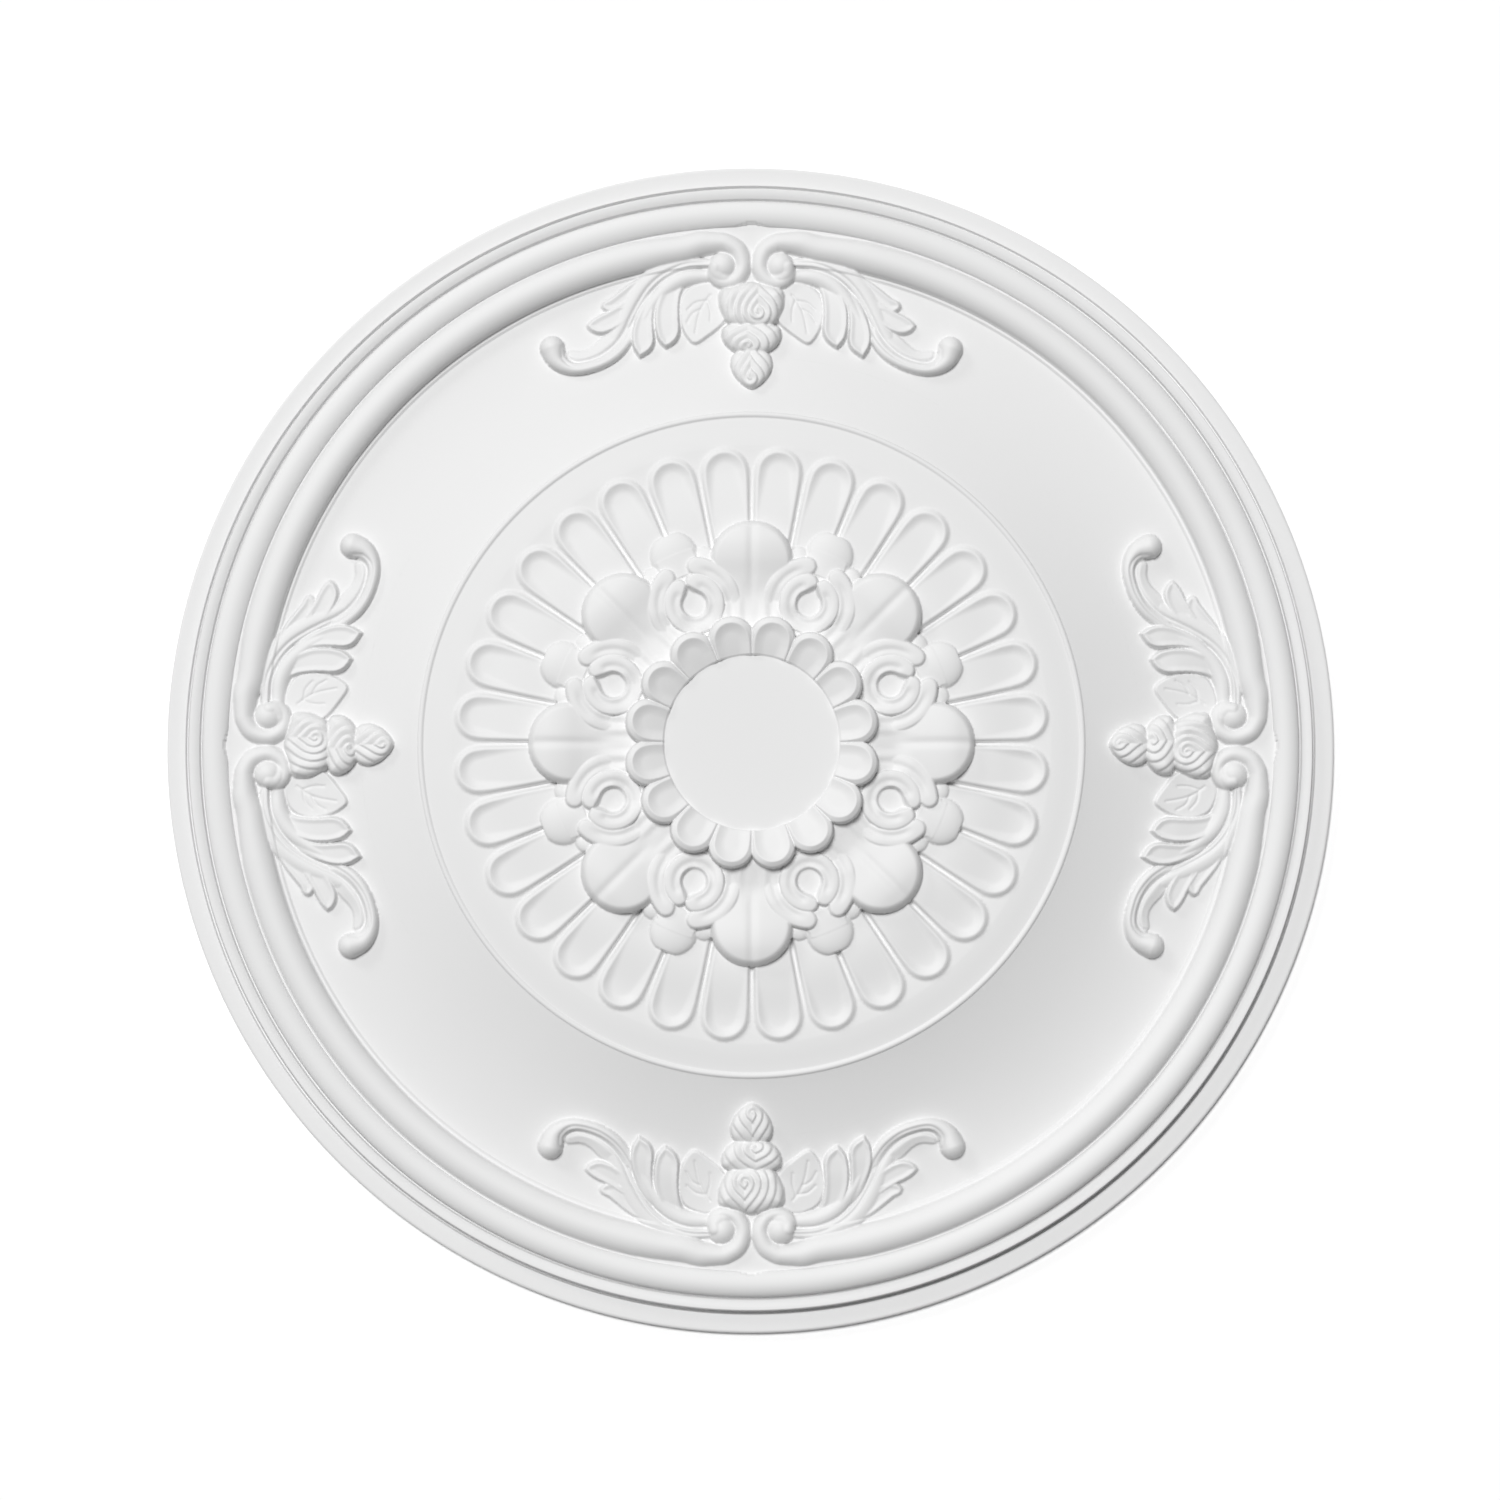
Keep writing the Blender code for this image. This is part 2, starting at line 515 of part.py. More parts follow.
def collar_height(x, y):
    """The ring of lobes, each with a chamfered rim round a dish that falls inwards to the hub."""
    across, out = facing(x, y, LOBE_COUNT, np.pi / LOBE_COUNT)
    radius = np.hypot(x, y)
    head = LOBE_HEAD_RADIUS - np.hypot(across, np.maximum(out - LOBE_TIP + LOBE_HEAD_RADIUS, 0.0))
    side = radius * np.sin(np.pi / LOBE_COUNT - np.abs(np.arctan2(across, out)))
    foot = COLLAR_HEIGHT - COLLAR_RISE - COLLAR_FOOT_DROP
    inwards = np.clip((LOBE_TIP - LOBE_RIM_WIDTH - out) / (COLLAR_WIDTH - LOBE_RIM_WIDTH), 0.0, 1.0)
    crest = COLLAR_HEIGHT - (HUB_RECESS - HUB_LIP) * inwards ** 1.3
    chamfer = LOBE_RIM_DROP * (1.0 - np.clip(head / LOBE_RIM_WIDTH, 0.0, 1.0))
    wall = (crest - LOBE_RIM_DROP - foot) * (1.0 - arch(1.0 - np.clip(head / LOBE_WALL_RUN, 0.0, 1.0)))
    crease = LOBE_CREASE_DEPTH * (1.0 - np.clip(side / LOBE_CREASE_WIDTH, 0.0, 1.0)) ** 2
    into = np.clip(np.minimum(head - LOBE_RIM_WIDTH, side - LOBE_SIDE_WIDTH) / LOBE_HOLLOW_RUN, 0.0, 1.0)
    lobe = crest - chamfer - wall - crease - LOBE_HOLLOW * np.sin(np.pi / 2.0 * into)
    return np.where(head > 0.0, lobe, np.where(radius < LOBE_TIP - LOBE_ROOT, foot, NOTHING))


def face_height(x, y):
    """Height of the finished face over the back at every (x, y)."""
    radius = np.hypot(x, y)
    height = turned_height(radius)
    across, out = facing(x, y, SPRAY_COUNT)
    height = np.maximum(height, band_height(across, out))
    lowest = BAND_RADIUS - DRAWN_BAND[1] * spray_scale()
    near = (radius > lowest) & (radius < VALLEY_RADIUS) & (np.abs(across) < SPRAY_HALF_WIDTH * 1.05)
    spray = spray_height(across[near], out[near], height_of_field(radius[near]))
    height[near] = np.maximum(height[near], spray)
    middle = radius < PETAL_TIP
    mx, my = x[middle], y[middle]
    for carving in (petal_height, acanthus_height, collar_height):
        height[middle] = np.maximum(height[middle], carving(mx, my))
    return np.where(radius <= HUB_RADIUS + 1e-6, HUB_HEIGHT, height)


def height_of_field(radius):
    """The ground that a spray lies on, without the ledge and the band."""
    return turned_height(np.minimum(radius, FIELD_RADIUS))


def rim_radii():
    """Radii of the rings that draw the rim's mouldings, from the edge to the valley."""
    rounding = FLANGE_EDGE_ROUND * (1.0 - np.sin(np.radians((60.0, 30.0, 0.0))))
    flange = OUTER_RADIUS - rounding
    wall = STEP_RADIUS + WALL_RUN * np.array((0.5, -0.5))
    middle = (TORUS_RADIUS + VALLEY_RADIUS) / 2.0
    turns = np.radians((0.0, 18.0, 42.0, 66.0, 90.0, 114.0, 138.0, 162.0))
    torus = middle + TORUS_WIDTH / 2.0 * np.cos(turns)
    return np.concatenate(([OUTER_RADIUS], flange, wall, [TORUS_RADIUS + 0.01], torus))


def ring_points(radii, segments, heights):
    """One ring of points at each radius, all rings with the same number of segments."""
    angle = np.arange(segments) * 2.0 * np.pi / segments
    x = np.outer(radii, np.sin(angle))
    y = np.outer(radii, np.cos(angle))
    return np.dstack([x, y, heights(x, y)]).reshape(-1, 3)


def ring_faces(first, rings, segments):
    """Quads between neighbouring rings that run from the outside in, facing up."""
    ring = first + segments * np.arange(rings - 1)[:, None]
    here = np.arange(segments)
    after = (here + 1) % segments
    inner = ring + segments
    return np.stack([ring + here, inner + here, inner + after, ring + after], axis=2).reshape(-1, 4)


def stitch_faces(coarse, coarse_count, fine, fine_count):
    """Triangles that face up where a ring of few points lies outside a ring of many."""
    ratio = fine_count // coarse_count
    faces = []
    for i in range(coarse_count):
        own, following = coarse + i, coarse + (i + 1) % coarse_count
        middle = i * ratio + ratio // 2
        for k in range(ratio):
            here = i * ratio + k
            corner = own if here < middle else following
            faces.append((corner, fine + here, fine + (here + 1) % fine_count))
        faces.append((own, fine + middle, following))
    return faces


def rose_mesh():
    """Mesh of the closed casting, and how many of its points belong to the back, the rim and the seat."""
    rim = rim_radii()
    back = np.array([[0.0, 0.0, 0.0]])
    edge = ring_points([OUTER_RADIUS], RIM_SEGMENTS, lambda x, y: np.zeros(x.shape))
    mouldings = ring_points(rim, RIM_SEGMENTS, lambda x, y: turned_height(np.hypot(x, y)))
    count = int((VALLEY_RADIUS - HUB_RADIUS) / FINE_RING_STEP)
    fine = np.linspace(VALLEY_RADIUS - 0.3, HUB_RADIUS + HUB_STITCH, count)
    hub = np.array([[0.0, 0.0, HUB_HEIGHT]])
    seat = ring_points([HUB_RADIUS], RIM_SEGMENTS, lambda x, y: np.full(x.shape, HUB_HEIGHT))
    carved = ring_points(fine, FINE_SEGMENTS, face_height)
    points = np.vstack([back, edge, mouldings, hub, seat, carved]) * MILLIMETRE

    rim_end = 1 + RIM_SEGMENTS * (1 + len(rim))
    seat_start = rim_end + 1
    fine_start = seat_start + RIM_SEGMENTS
    last_ring = fine_start + FINE_SEGMENTS * (count - 1)
    faces = []
    for i in range(RIM_SEGMENTS):
        after = (i + 1) % RIM_SEGMENTS
        faces.append((0, 1 + i, 1 + after))
        faces.append((rim_end, seat_start + after, seat_start + i))
    faces += ring_faces(1, 1 + len(rim), RIM_SEGMENTS).tolist()
    faces += stitch_faces(rim_end - RIM_SEGMENTS, RIM_SEGMENTS, fine_start, FINE_SEGMENTS)
    faces += ring_faces(fine_start, count, FINE_SEGMENTS).tolist()
    faces += [face[::-1] for face in stitch_faces(seat_start, RIM_SEGMENTS, last_ring, FINE_SEGMENTS)]
    mesh = bpy.data.meshes.new("ceiling_rose")
    mesh.from_pydata(points.tolist(), [], faces)
    mesh.update()
    return mesh, fine_start


def foam_material():
    """Primed white polyurethane foam."""
    material = bpy.data.materials.new("white primed polyurethane")
    material.use_nodes = True
    shader = material.node_tree.nodes["Principled BSDF"]
    shader.inputs["Base Color"].default_value = (0.84, 0.84, 0.84, 1.0)
    shader.inputs["Roughness"].default_value = 0.62
    shader.inputs["Metallic"].default_value = 0.0
    material.diffuse_color = (0.84, 0.84, 0.84, 1.0)
    return material


def make_rose():
    """The casting: back, rim and seat stay as drawn, and the carving is thinned to the triangle count."""
    mesh, pinned = rose_mesh()
    rose = bpy.data.objects.new("ceiling_rose", mesh)
    bpy.context.scene.collection.objects.link(rose)
    mesh.materials.append(foam_material())
    carving = rose.vertex_groups.new(name="carving")
    carving.add(list(range(pinned, len(mesh.vertices))), 1.0, "REPLACE")
    mesh.shade_smooth()

    split = rose.modifiers.new("triangles", "TRIANGULATE")
    split.keep_custom_normals = False
    thin = rose.modifiers.new("thin plain surface", "DECIMATE")
    thin.decimate_type = "COLLAPSE"
    thin.vertex_group = carving.name
    triangles = sum(len(face.vertices) - 2 for face in mesh.polygons)
    thin.ratio = TRIANGLES / triangles
    return rose


for leftover in list(bpy.data.objects):
    bpy.data.objects.remove(leftover, do_unlink=True)
make_rose()
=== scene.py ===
# %% [markdown]
# # A cast ceiling rose
# A ceiling rose is the round ornament over a lamp. This one is cast in rigid polyurethane foam in
# an open mould and primed white. It leaves the mould in one straight pull, so nothing on its face
# is undercut: over each point of the back there is one height. That makes the whole face a
# function of two parameters, which numpy works out as one array.

import bpy
import numpy as np
from mathutils import Matrix, Vector


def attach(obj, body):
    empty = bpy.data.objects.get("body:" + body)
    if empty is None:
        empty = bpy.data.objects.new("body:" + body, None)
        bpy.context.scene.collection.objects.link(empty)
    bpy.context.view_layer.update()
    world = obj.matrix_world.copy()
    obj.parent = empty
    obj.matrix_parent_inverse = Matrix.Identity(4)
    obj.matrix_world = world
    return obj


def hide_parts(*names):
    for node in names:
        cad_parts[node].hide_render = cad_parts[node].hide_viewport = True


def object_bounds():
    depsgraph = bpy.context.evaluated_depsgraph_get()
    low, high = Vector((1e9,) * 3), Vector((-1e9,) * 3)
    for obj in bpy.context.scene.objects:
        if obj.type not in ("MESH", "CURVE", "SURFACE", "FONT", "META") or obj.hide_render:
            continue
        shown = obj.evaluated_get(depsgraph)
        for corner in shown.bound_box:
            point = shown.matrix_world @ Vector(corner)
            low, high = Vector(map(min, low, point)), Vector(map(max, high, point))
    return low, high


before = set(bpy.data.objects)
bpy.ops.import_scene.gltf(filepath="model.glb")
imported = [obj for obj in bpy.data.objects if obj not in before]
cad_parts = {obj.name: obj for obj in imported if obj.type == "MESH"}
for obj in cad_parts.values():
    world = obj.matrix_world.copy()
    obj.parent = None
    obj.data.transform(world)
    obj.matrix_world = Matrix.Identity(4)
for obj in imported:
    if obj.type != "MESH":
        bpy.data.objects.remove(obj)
CAD_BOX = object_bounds()
print("solid", [round(side * 1000, 1) for side in CAD_BOX[1] - CAD_BOX[0]], "mm")

# %% [markdown]
# ## Sizes
# All lengths are in millimetres. The rim is measured inwards from the outer edge and the middle
# group outwards from the hub, which is how a moulder sets out a rose with a compass. The outer
# diameter is read from the solid, so that the fine surface always fits it.

# %% Sizes of the rim, from the outer edge inwards
MILLIMETRE = 0.001
OUTER_RADIUS = (CAD_BOX[1].x - CAD_BOX[0].x) / 2.0 / MILLIMETRE
FLANGE_THICKNESS = 6.0
FLANGE_EDGE_ROUND = 2.0
STEP_RADIUS = OUTER_RADIUS - 15.0
STEP_HEIGHT = 14.0
WALL_RUN = 1.6
TORUS_RADIUS = STEP_RADIUS - 9.5
TORUS_TOP = 21.0
QUIRK_DEPTH = 3.4
QUIRK_HALF_WIDTH = 1.1
QUIRK_RADII = (STEP_RADIUS + 1.8, TORUS_RADIUS + 1.1)  # thin grooves at the feet of step and torus
VALLEY_RADIUS = TORUS_RADIUS - 16.9
VALLEY_HEIGHT = 16.0
BAND_RADIUS = VALLEY_RADIUS - 1.2
BAND_WIDTH = 20.9
BAND_RISE = 8.0
LEDGE_HEIGHT = 14.0
FIELD_RADIUS = BAND_RADIUS - BAND_WIDTH - 3.0
FIELD_HEIGHT = 12.6
FIELD_CURVE = 1.8
print("rim", round(OUTER_RADIUS, 1), "to", round(FIELD_RADIUS, 1), "mm from the middle")

# %% Sizes of the middle group, from the hub outwards
HUB_RADIUS = 57.0
COLLAR_WIDTH = 26.2
LEAF_REACH = 62.1
PETAL_REACH = 49.2
PLATEAU_WIDTH = 21.5
LOBE_TIP = HUB_RADIUS + COLLAR_WIDTH
LEAF_TIP = LOBE_TIP + LEAF_REACH
PETAL_TIP = LEAF_TIP + PETAL_REACH
BEAD_RADIUS = PETAL_TIP + PLATEAU_WIDTH
BEAD_WIDTH = 3.2
BEAD_RISE = 1.0
BEAD_HEIGHT = FIELD_HEIGHT + 23.4
PLATEAU_HEIGHT = BEAD_HEIGHT + 2.5
ACANTHUS_TOP = PLATEAU_HEIGHT + 12.0
COLLAR_HEIGHT = CAD_BOX[1].z / MILLIMETRE
HUB_HEIGHT = ACANTHUS_TOP + 0.5
PETAL_COUNT = 32
LEAF_COUNT = 8
LOBE_COUNT = 16
SPRAY_COUNT = 4
NOTHING = -50.0  # far below the back, where an ornament isn't
print("bead ring at", BEAD_RADIUS, "mm, hub seat at", HUB_HEIGHT, "mm over the back")

# %% [markdown]
# ## Carver's helpers
# Carving is built from a few section shapes. A rounded bar has an arch for its section, a soft
# step has an S for it, and two forms that meet either keep a crease (the higher of the two) or
# are filleted. Repeated ornament is worked out once: every point is turned to face the nearest of
# some equal axes, and the ornament is drawn about that one axis.

# %% Section shapes
def ramp(share):
    """S-shaped step: 3 s squared minus 2 s cubed, for the share s held between 0 and 1."""
    share = np.clip(share, 0.0, 1.0)
    return share * share * (3.0 - 2.0 * share)


def arch(share, fullness=0.5):
    """Rounded section: one minus the share squared, never below 0, to the power of the fullness."""
    return np.clip(1.0 - share * share, 0.0, 1.0) ** fullness


def smooth_max(first, second, width):
    """The higher of two heights, mixed where they are within a width of each other, as a fillet."""
    mix = np.clip(0.5 + 0.5 * (first - second) / width, 0.0, 1.0)
    return second + (first - second) * mix + width * mix * (1.0 - mix)


def facing(x, y, count, turn=0.0):
    """Turns every point to the nearest of count equal axes: distance across it, then out along it."""
    step = 2.0 * np.pi / count
    angle = np.arctan2(x, y) - turn
    angle = angle - step * np.round(angle / step)
    reach = np.hypot(x, y)
    return reach * np.sin(angle), reach * np.cos(angle)


# %% [markdown]
# A carver's line is a curve through a few points. A Bezier curve would need handles that lie off it.
# The Catmull-Rom curve passes through every point that it is given, so a drawing can be read off
# with a ruler.

# %% Smooth curve through stations
def smooth_path(stations, steps=8, closed=False):
    """Catmull-Rom curve: each run is the cubic through two stations with the slope of their neighbours."""
    rows = np.array(stations, float)
    if closed:
        rows = np.vstack([rows[-1], rows, rows[0], rows[1]])
    else:
        rows = np.vstack([2 * rows[0] - rows[1], rows, 2 * rows[-1] - rows[-2]])
    t = np.linspace(0.0, 1.0, steps, endpoint=False)[:, None]
    runs = []
    for a, b, c, d in zip(rows, rows[1:], rows[2:], rows[3:]):
        bend = (2 * a - 5 * b + 4 * c - d) * t ** 2 + (3 * b - a - 3 * c + d) * t ** 3
        runs.append(0.5 * (2 * b + (c - a) * t + bend))
    if not closed:
        runs.append(rows[-2:-1])
    return np.vstack(runs)


# %% [markdown]
# What is drawn grows out of the distance to its line: near it lies the crest, and at one half width
# away the edge. Half width and rise are read off at the nearest place on the line, so a stroke
# swells and thins out as a gouge cut does.

# %% Strokes
def foot_on(x, y, a, b):
    """Share along the line from a to b of its point nearest each (x, y), and the distance to it."""
    run, climb = b[0] - a[0], b[1] - a[1]
    length = max(run * run + climb * climb, 1e-9)
    share = np.clip(((x - a[0]) * run + (y - a[1]) * climb) / length, 0.0, 1.0)
    return share, np.hypot(x - a[0] - share * run, y - a[1] - share * climb)


def stroke(x, y, path):
    """For a path of (x, y, half width, rise): distance over half width, half width and rise at its foot."""
    nearest = np.full(x.shape, 1e9)
    half_width = np.zeros(x.shape)
    rise = np.zeros(x.shape)
    for a, b in zip(path, path[1:]):
        share, distance = foot_on(x, y, a, b)
        width_here = np.maximum(a[2] + share * (b[2] - a[2]), 0.2)
        closer = distance / width_here < nearest
        nearest = np.where(closer, distance / width_here, nearest)
        half_width = np.where(closer, width_here, half_width)
        rise = np.where(closer, a[3] + share * (b[3] - a[3]), rise)
    return nearest, half_width, rise


def stroke_height(x, y, stations, fullness=0.55):
    """A rounded stroke: its rise times the arch of the distance from its path."""
    nearest, _, rise = stroke(x, y, smooth_path(stations))
    return np.where(nearest < 1.0, rise * arch(nearest, fullness), NOTHING)


def distance_to(x, y, points):
    """Distance from every (x, y) to a smooth line through the points."""
    line = [(px, py, 1.0, 1.0) for px, py in smooth_path(points)]
    return stroke(x, y, line)[0]


# %% [markdown]
# A flat leaf has an outline and no middle line. It needs the distance to that outline and the side
# on which a point lies: inside, if a line from the point to the right crosses the outline an odd
# number of times.

# %% Closed outlines
def depth_inside(x, y, corners):
    """Distance to a smooth closed outline, positive inside it by the crossing rule, negative outside."""
    path = smooth_path(corners, closed=True)
    nearest = np.full(x.shape, 1e9)
    inside = np.zeros(x.shape, bool)
    for a, b in zip(path, np.roll(path, -1, axis=0)):
        nearest = np.minimum(nearest, foot_on(x, y, a, b)[1])
        if a[1] != b[1]:
            crossing = a[0] + (b[0] - a[0]) * (y - a[1]) / (b[1] - a[1])
            inside ^= ((a[1] > y) != (b[1] > y)) & (x < crossing)
    return np.where(inside, nearest, -nearest)


# %% [markdown]
# ## The turned ground
# Under all carving lies a form that a plasterer would turn with a template: a flat flange, a
# step, a half-round torus and, from the inner ledge, a field that climbs in a hollow curve to a
# thin bead. The steps are steep but never upright, which lets the casting leave its mould.

# %% Turned profile
def turned_height(radius):
    """Height by distance from the middle: flange, wall, step, half-round torus, valley and ledge, a field
    that climbs as a power of the share of the way in, and a plateau with a half-round bead at its edge."""
    into_round = np.clip((radius - OUTER_RADIUS + FLANGE_EDGE_ROUND) / FLANGE_EDGE_ROUND, 0.0, 1.0)
    height = FLANGE_THICKNESS - FLANGE_EDGE_ROUND * (1.0 - arch(into_round))
    height = height + (STEP_HEIGHT - FLANGE_THICKNESS) * ramp((STEP_RADIUS - radius) / WALL_RUN + 0.5)
    for quirk in QUIRK_RADII:
        height = height - QUIRK_DEPTH * arch((radius - quirk) / QUIRK_HALF_WIDTH, 1.0)
    middle, half = (TORUS_RADIUS + VALLEY_RADIUS) / 2.0, (TORUS_RADIUS - VALLEY_RADIUS) / 2.0
    foot = np.where(radius > middle, STEP_HEIGHT, VALLEY_HEIGHT)
    torus = foot + (TORUS_TOP - foot) * arch((radius - middle) / half)
    height = np.where(radius < TORUS_RADIUS, torus, height)
    height = np.where(radius < VALLEY_RADIUS, VALLEY_HEIGHT, height)
    height = np.where(radius < BAND_RADIUS - BAND_WIDTH / 2.0, LEDGE_HEIGHT, height)
    inwards = np.clip((FIELD_RADIUS - radius) / (FIELD_RADIUS - BEAD_RADIUS), 0.0, 1.0)
    field = FIELD_HEIGHT + (BEAD_HEIGHT - FIELD_HEIGHT) * inwards ** FIELD_CURVE
    height = np.where(radius < FIELD_RADIUS, field, height)
    plateau = BEAD_HEIGHT + (PLATEAU_HEIGHT - BEAD_HEIGHT) * ramp((BEAD_RADIUS - radius) / PLATEAU_WIDTH)
    height = np.where(radius < BEAD_RADIUS, plateau, height)
    bead = BEAD_HEIGHT + BEAD_RISE * arch((radius - BEAD_RADIUS) / (BEAD_WIDTH / 2.0))
    return np.where(np.abs(radius - BEAD_RADIUS) < BEAD_WIDTH / 2.0, np.maximum(height, bead), height)


# %% [markdown]
# ## A spray
# Four sprays hang from the scroll band. Each has two scrolls back to back, a curling acanthus
# leaf on either side, a flat leaf between and three flower heads that shrink towards the middle.
# A carver draws such a leaf as a few long strokes, each with its own width and rise, and that is
# how it is written here: as stations (across, out, half width, rise) for the left half.

# %% Drawing of the spray
LEAF_BLADES = (
    [(-27, 319, 3.4, 5), (-40, 319, 4, 5), (-52, 316.5, 5, 5), (-64, 310.5, 6.4, 5.2),
     (-73, 302, 7, 5.4), (-80, 291, 7, 5.4), (-85, 280, 6, 5), (-90, 270, 5, 4)],
    [(-24, 311, 4.5, 5), (-40, 310.5, 6.2, 6), (-50, 307, 6.5, 6), (-58, 301, 6, 6),
     (-65, 292.5, 5, 6), (-71, 282, 4.5, 5.5), (-77, 271, 3.8, 5)],
)
LEAF_LOBES = (
    [(-66, 311, 3, 3), (-76, 303, 5.5, 4.2), (-84, 295.5, 6.5, 4.8), (-90.5, 291.2, 5.8, 4.8),
     (-95, 290.8, 4.2, 4.6), (-98.6, 291, 1.0, 4.2)],
    [(-74, 297, 3, 3), (-82, 289, 6, 4.8), (-90, 282.5, 7, 5.2), (-98, 278.4, 7, 5.2),
     (-103.5, 277.4, 4.8, 5), (-108.6, 277.7, 0.8, 4.6)],
    [(-45, 308, 3, 2), (-52, 300, 6.5, 5), (-55.2, 290, 8.3, 6.6), (-55.7, 281, 8.8, 7.2),
     (-55.2, 273.5, 8.4, 6.8), (-55.7, 268.5, 5.8, 6.2), (-56.4, 261.8, 0.6, 5.4)],
    [(-60, 304, 2.5, 2), (-66.5, 294, 4.5, 5), (-70.3, 283, 6.4, 6.2), (-71.5, 273, 7.8, 6.8),
     (-71.4, 266.5, 7.8, 6.6), (-72.3, 261.5, 5.0, 6.2), (-73.5, 255.4, 0.6, 5.4)],
)
CURLED_TAIL = [(-76, 279, 2.5, 3), (-83, 265.5, 3.6, 5), (-90, 257.5, 3.8, 6), (-100, 251.6, 3.8, 6.5),
               (-112, 248.2, 3.9, 7), (-121.5, 249.3, 4.6, 7.5), (-128.5, 254.5, 6.2, 9),
               (-131.5, 262.5, 8.2, 11)]
LEAF_WEB = [(-86, 279), (-92, 274.5), (-99, 270), (-106, 263.5), (-112, 261), (-121, 261), (-124, 255),
            (-112, 250), (-98, 254), (-87, 262), (-80, 275)]
MIDRIB = [(-24, 317.4), (-40, 317), (-50, 314), (-59, 309), (-66.5, 302), (-72.5, 293), (-78, 282.5),
          (-83, 271.5), (-89.5, 262.5), (-99, 255.3), (-110, 251.6), (-117.5, 251.4), (-122.5, 255.5),
          (-123.3, 261)]
FLAT_LEAF = [(-30, 307), (-20, 303), (-17, 292), (-17, 280), (-29, 269), (-37.5, 264.3), (-43.5, 270),
             (-47.5, 280), (-48, 292), (-43, 302)]
FLAT_LEAF_VEINS = (
    [(-27, 298), (-32, 291), (-35, 283), (-37, 272)],
    [(-31, 294), (-37, 292.5), (-42, 288)],
    [(-34, 288), (-39, 285), (-42.5, 279)],
    [(-29, 294), (-27, 287), (-27, 280)],
)
SCROLL_EYE = (-19.0, 316.8)
SCROLL_TURNS = [(-45, 21.6, 8.4), (-30, 18.4, 7.6), (-10, 16.4, 6.9), (10, 15.6, 6.6), (45, 14.6, 6.3),
                (90, 13.4, 5.9), (135, 12.2, 5.3), (180, 10.7, 4.7), (225, 8.4, 4.2), (265, 5.8, 3.6)]
SCROLL_LEAD = [(-92, 10.45), (-76, 10.45), (-60, 9.6), (-45, 9)]
BLOOMS = (
    ([(0, 262), (11, 258.5), (13.8, 250), (9.5, 240.5), (0, 233.8)], (-0.5, 240.5), 3.6, 9.0, 1, 0.5, 1.0),
    ([(0, 281), (17, 277), (19.6, 270), (16, 263), (8, 258.4)], (-2.5, 262.5), 3.1, 11.0, -1, 0.3, 0.72),
    ([(0, 307), (10, 304.6), (20.5, 301), (22, 293), (19.5, 285), (14, 277.5), (0, 275)],
     (4.5, 285), 3.3, 13.0, 1, 0.42, 1.0),
)


# %% [markdown]
# The band is one rounded bar all round the rose. Beside each spray it turns in and winds round a
# ball, as a ram's horn does. Band and horn are one curve whose width shrinks along it, so there is
# no joint to hide. The angles of the horn are read clockwise round the ball.

# %% Scroll band and its two scrolls
BALL_RADIUS = 9.6
BALL_RISE = 9.5
SCROLL_REACH = 14.0


def band_section(nearest, half_width):
    """Band height: a rounded section, lower by the square root of its width where the band narrows."""
    fullness = 0.35 + 0.65 * np.sqrt(np.clip(half_width / (BAND_WIDTH / 2.0), 0.0, 1.0))
    height = VALLEY_HEIGHT - 1.0 + (BAND_RISE + 1.0) * fullness * arch(nearest, 0.55)
    return np.where(nearest < 1.0, height, NOTHING)


def scroll_path():
    """The band's middle line: along its ring, then round the eye at a radius that shrinks with the angle."""
    middle = BAND_RADIUS - BAND_WIDTH / 2.0
    stations = [(x, np.sqrt(middle ** 2 - x ** 2), half_width, 1.0) for x, half_width in SCROLL_LEAD]
    for clockwise, radius, half_width in SCROLL_TURNS:
        angle = np.radians(clockwise)
        stations.append((SCROLL_EYE[0] + radius * np.sin(angle), SCROLL_EYE[1] + radius * np.cos(angle),
                         half_width, 1.0))
    return smooth_path(stations)


def scroll_height(x, y):
    """The left scroll: the higher of the winding band and a ball, filleted where the band ends in it."""
    nearest, half_width, _ = stroke(x, y, scroll_path())
    band = band_section(nearest, half_width)
    across, along = x - SCROLL_EYE[0], y - SCROLL_EYE[1]
    away = np.hypot(across, along)
    ball = np.where(away < SCROLL_REACH, VALLEY_HEIGHT - 1.0 + BALL_RISE * arch(away / BALL_RADIUS), NOTHING)
    clockwise = np.degrees(np.arctan2(across, along)) % 360.0
    merged = ramp((clockwise - 125.0) / 50.0) * ramp((315.0 - clockwise) / 25.0)
    return np.where(away < SCROLL_REACH, smooth_max(band, ball, 0.3 + 8.0 * merged), band)


def band_height(across, out):
    """The plain ring of the scroll band, away from the scrolls."""
    half = BAND_WIDTH / 2.0
    nearest = np.abs(np.hypot(across, out) - BAND_RADIUS + half) / half
    return np.where(np.abs(across) > 76.0, band_section(nearest, np.full(across.shape, half)), NOTHING)


# %% [markdown]
# Acanthus is carved from the middle rib outwards: long blades that melt into each other, then flat
# tips with a bevelled edge, one over the next. Blades are filleted and tips keep a crease, which is
# what tells the two apart by eye.

# %% Acanthus leaf
TIP_BEVEL = 1.7


def lobe_height(x, y, stations):
    """A flat leaf tip: with depth as (1 - share) times half width, a bevelled edge, then a hollow."""
    nearest, half_width, rise = stroke(x, y, smooth_path(stations))
    depth = (1.0 - nearest) * half_width
    plate = rise * np.clip(depth / TIP_BEVEL, 0.0, 1.0) ** 0.8 - ramp((depth - TIP_BEVEL) / 3.5)
    return np.where(depth > 0.0, plate, NOTHING)


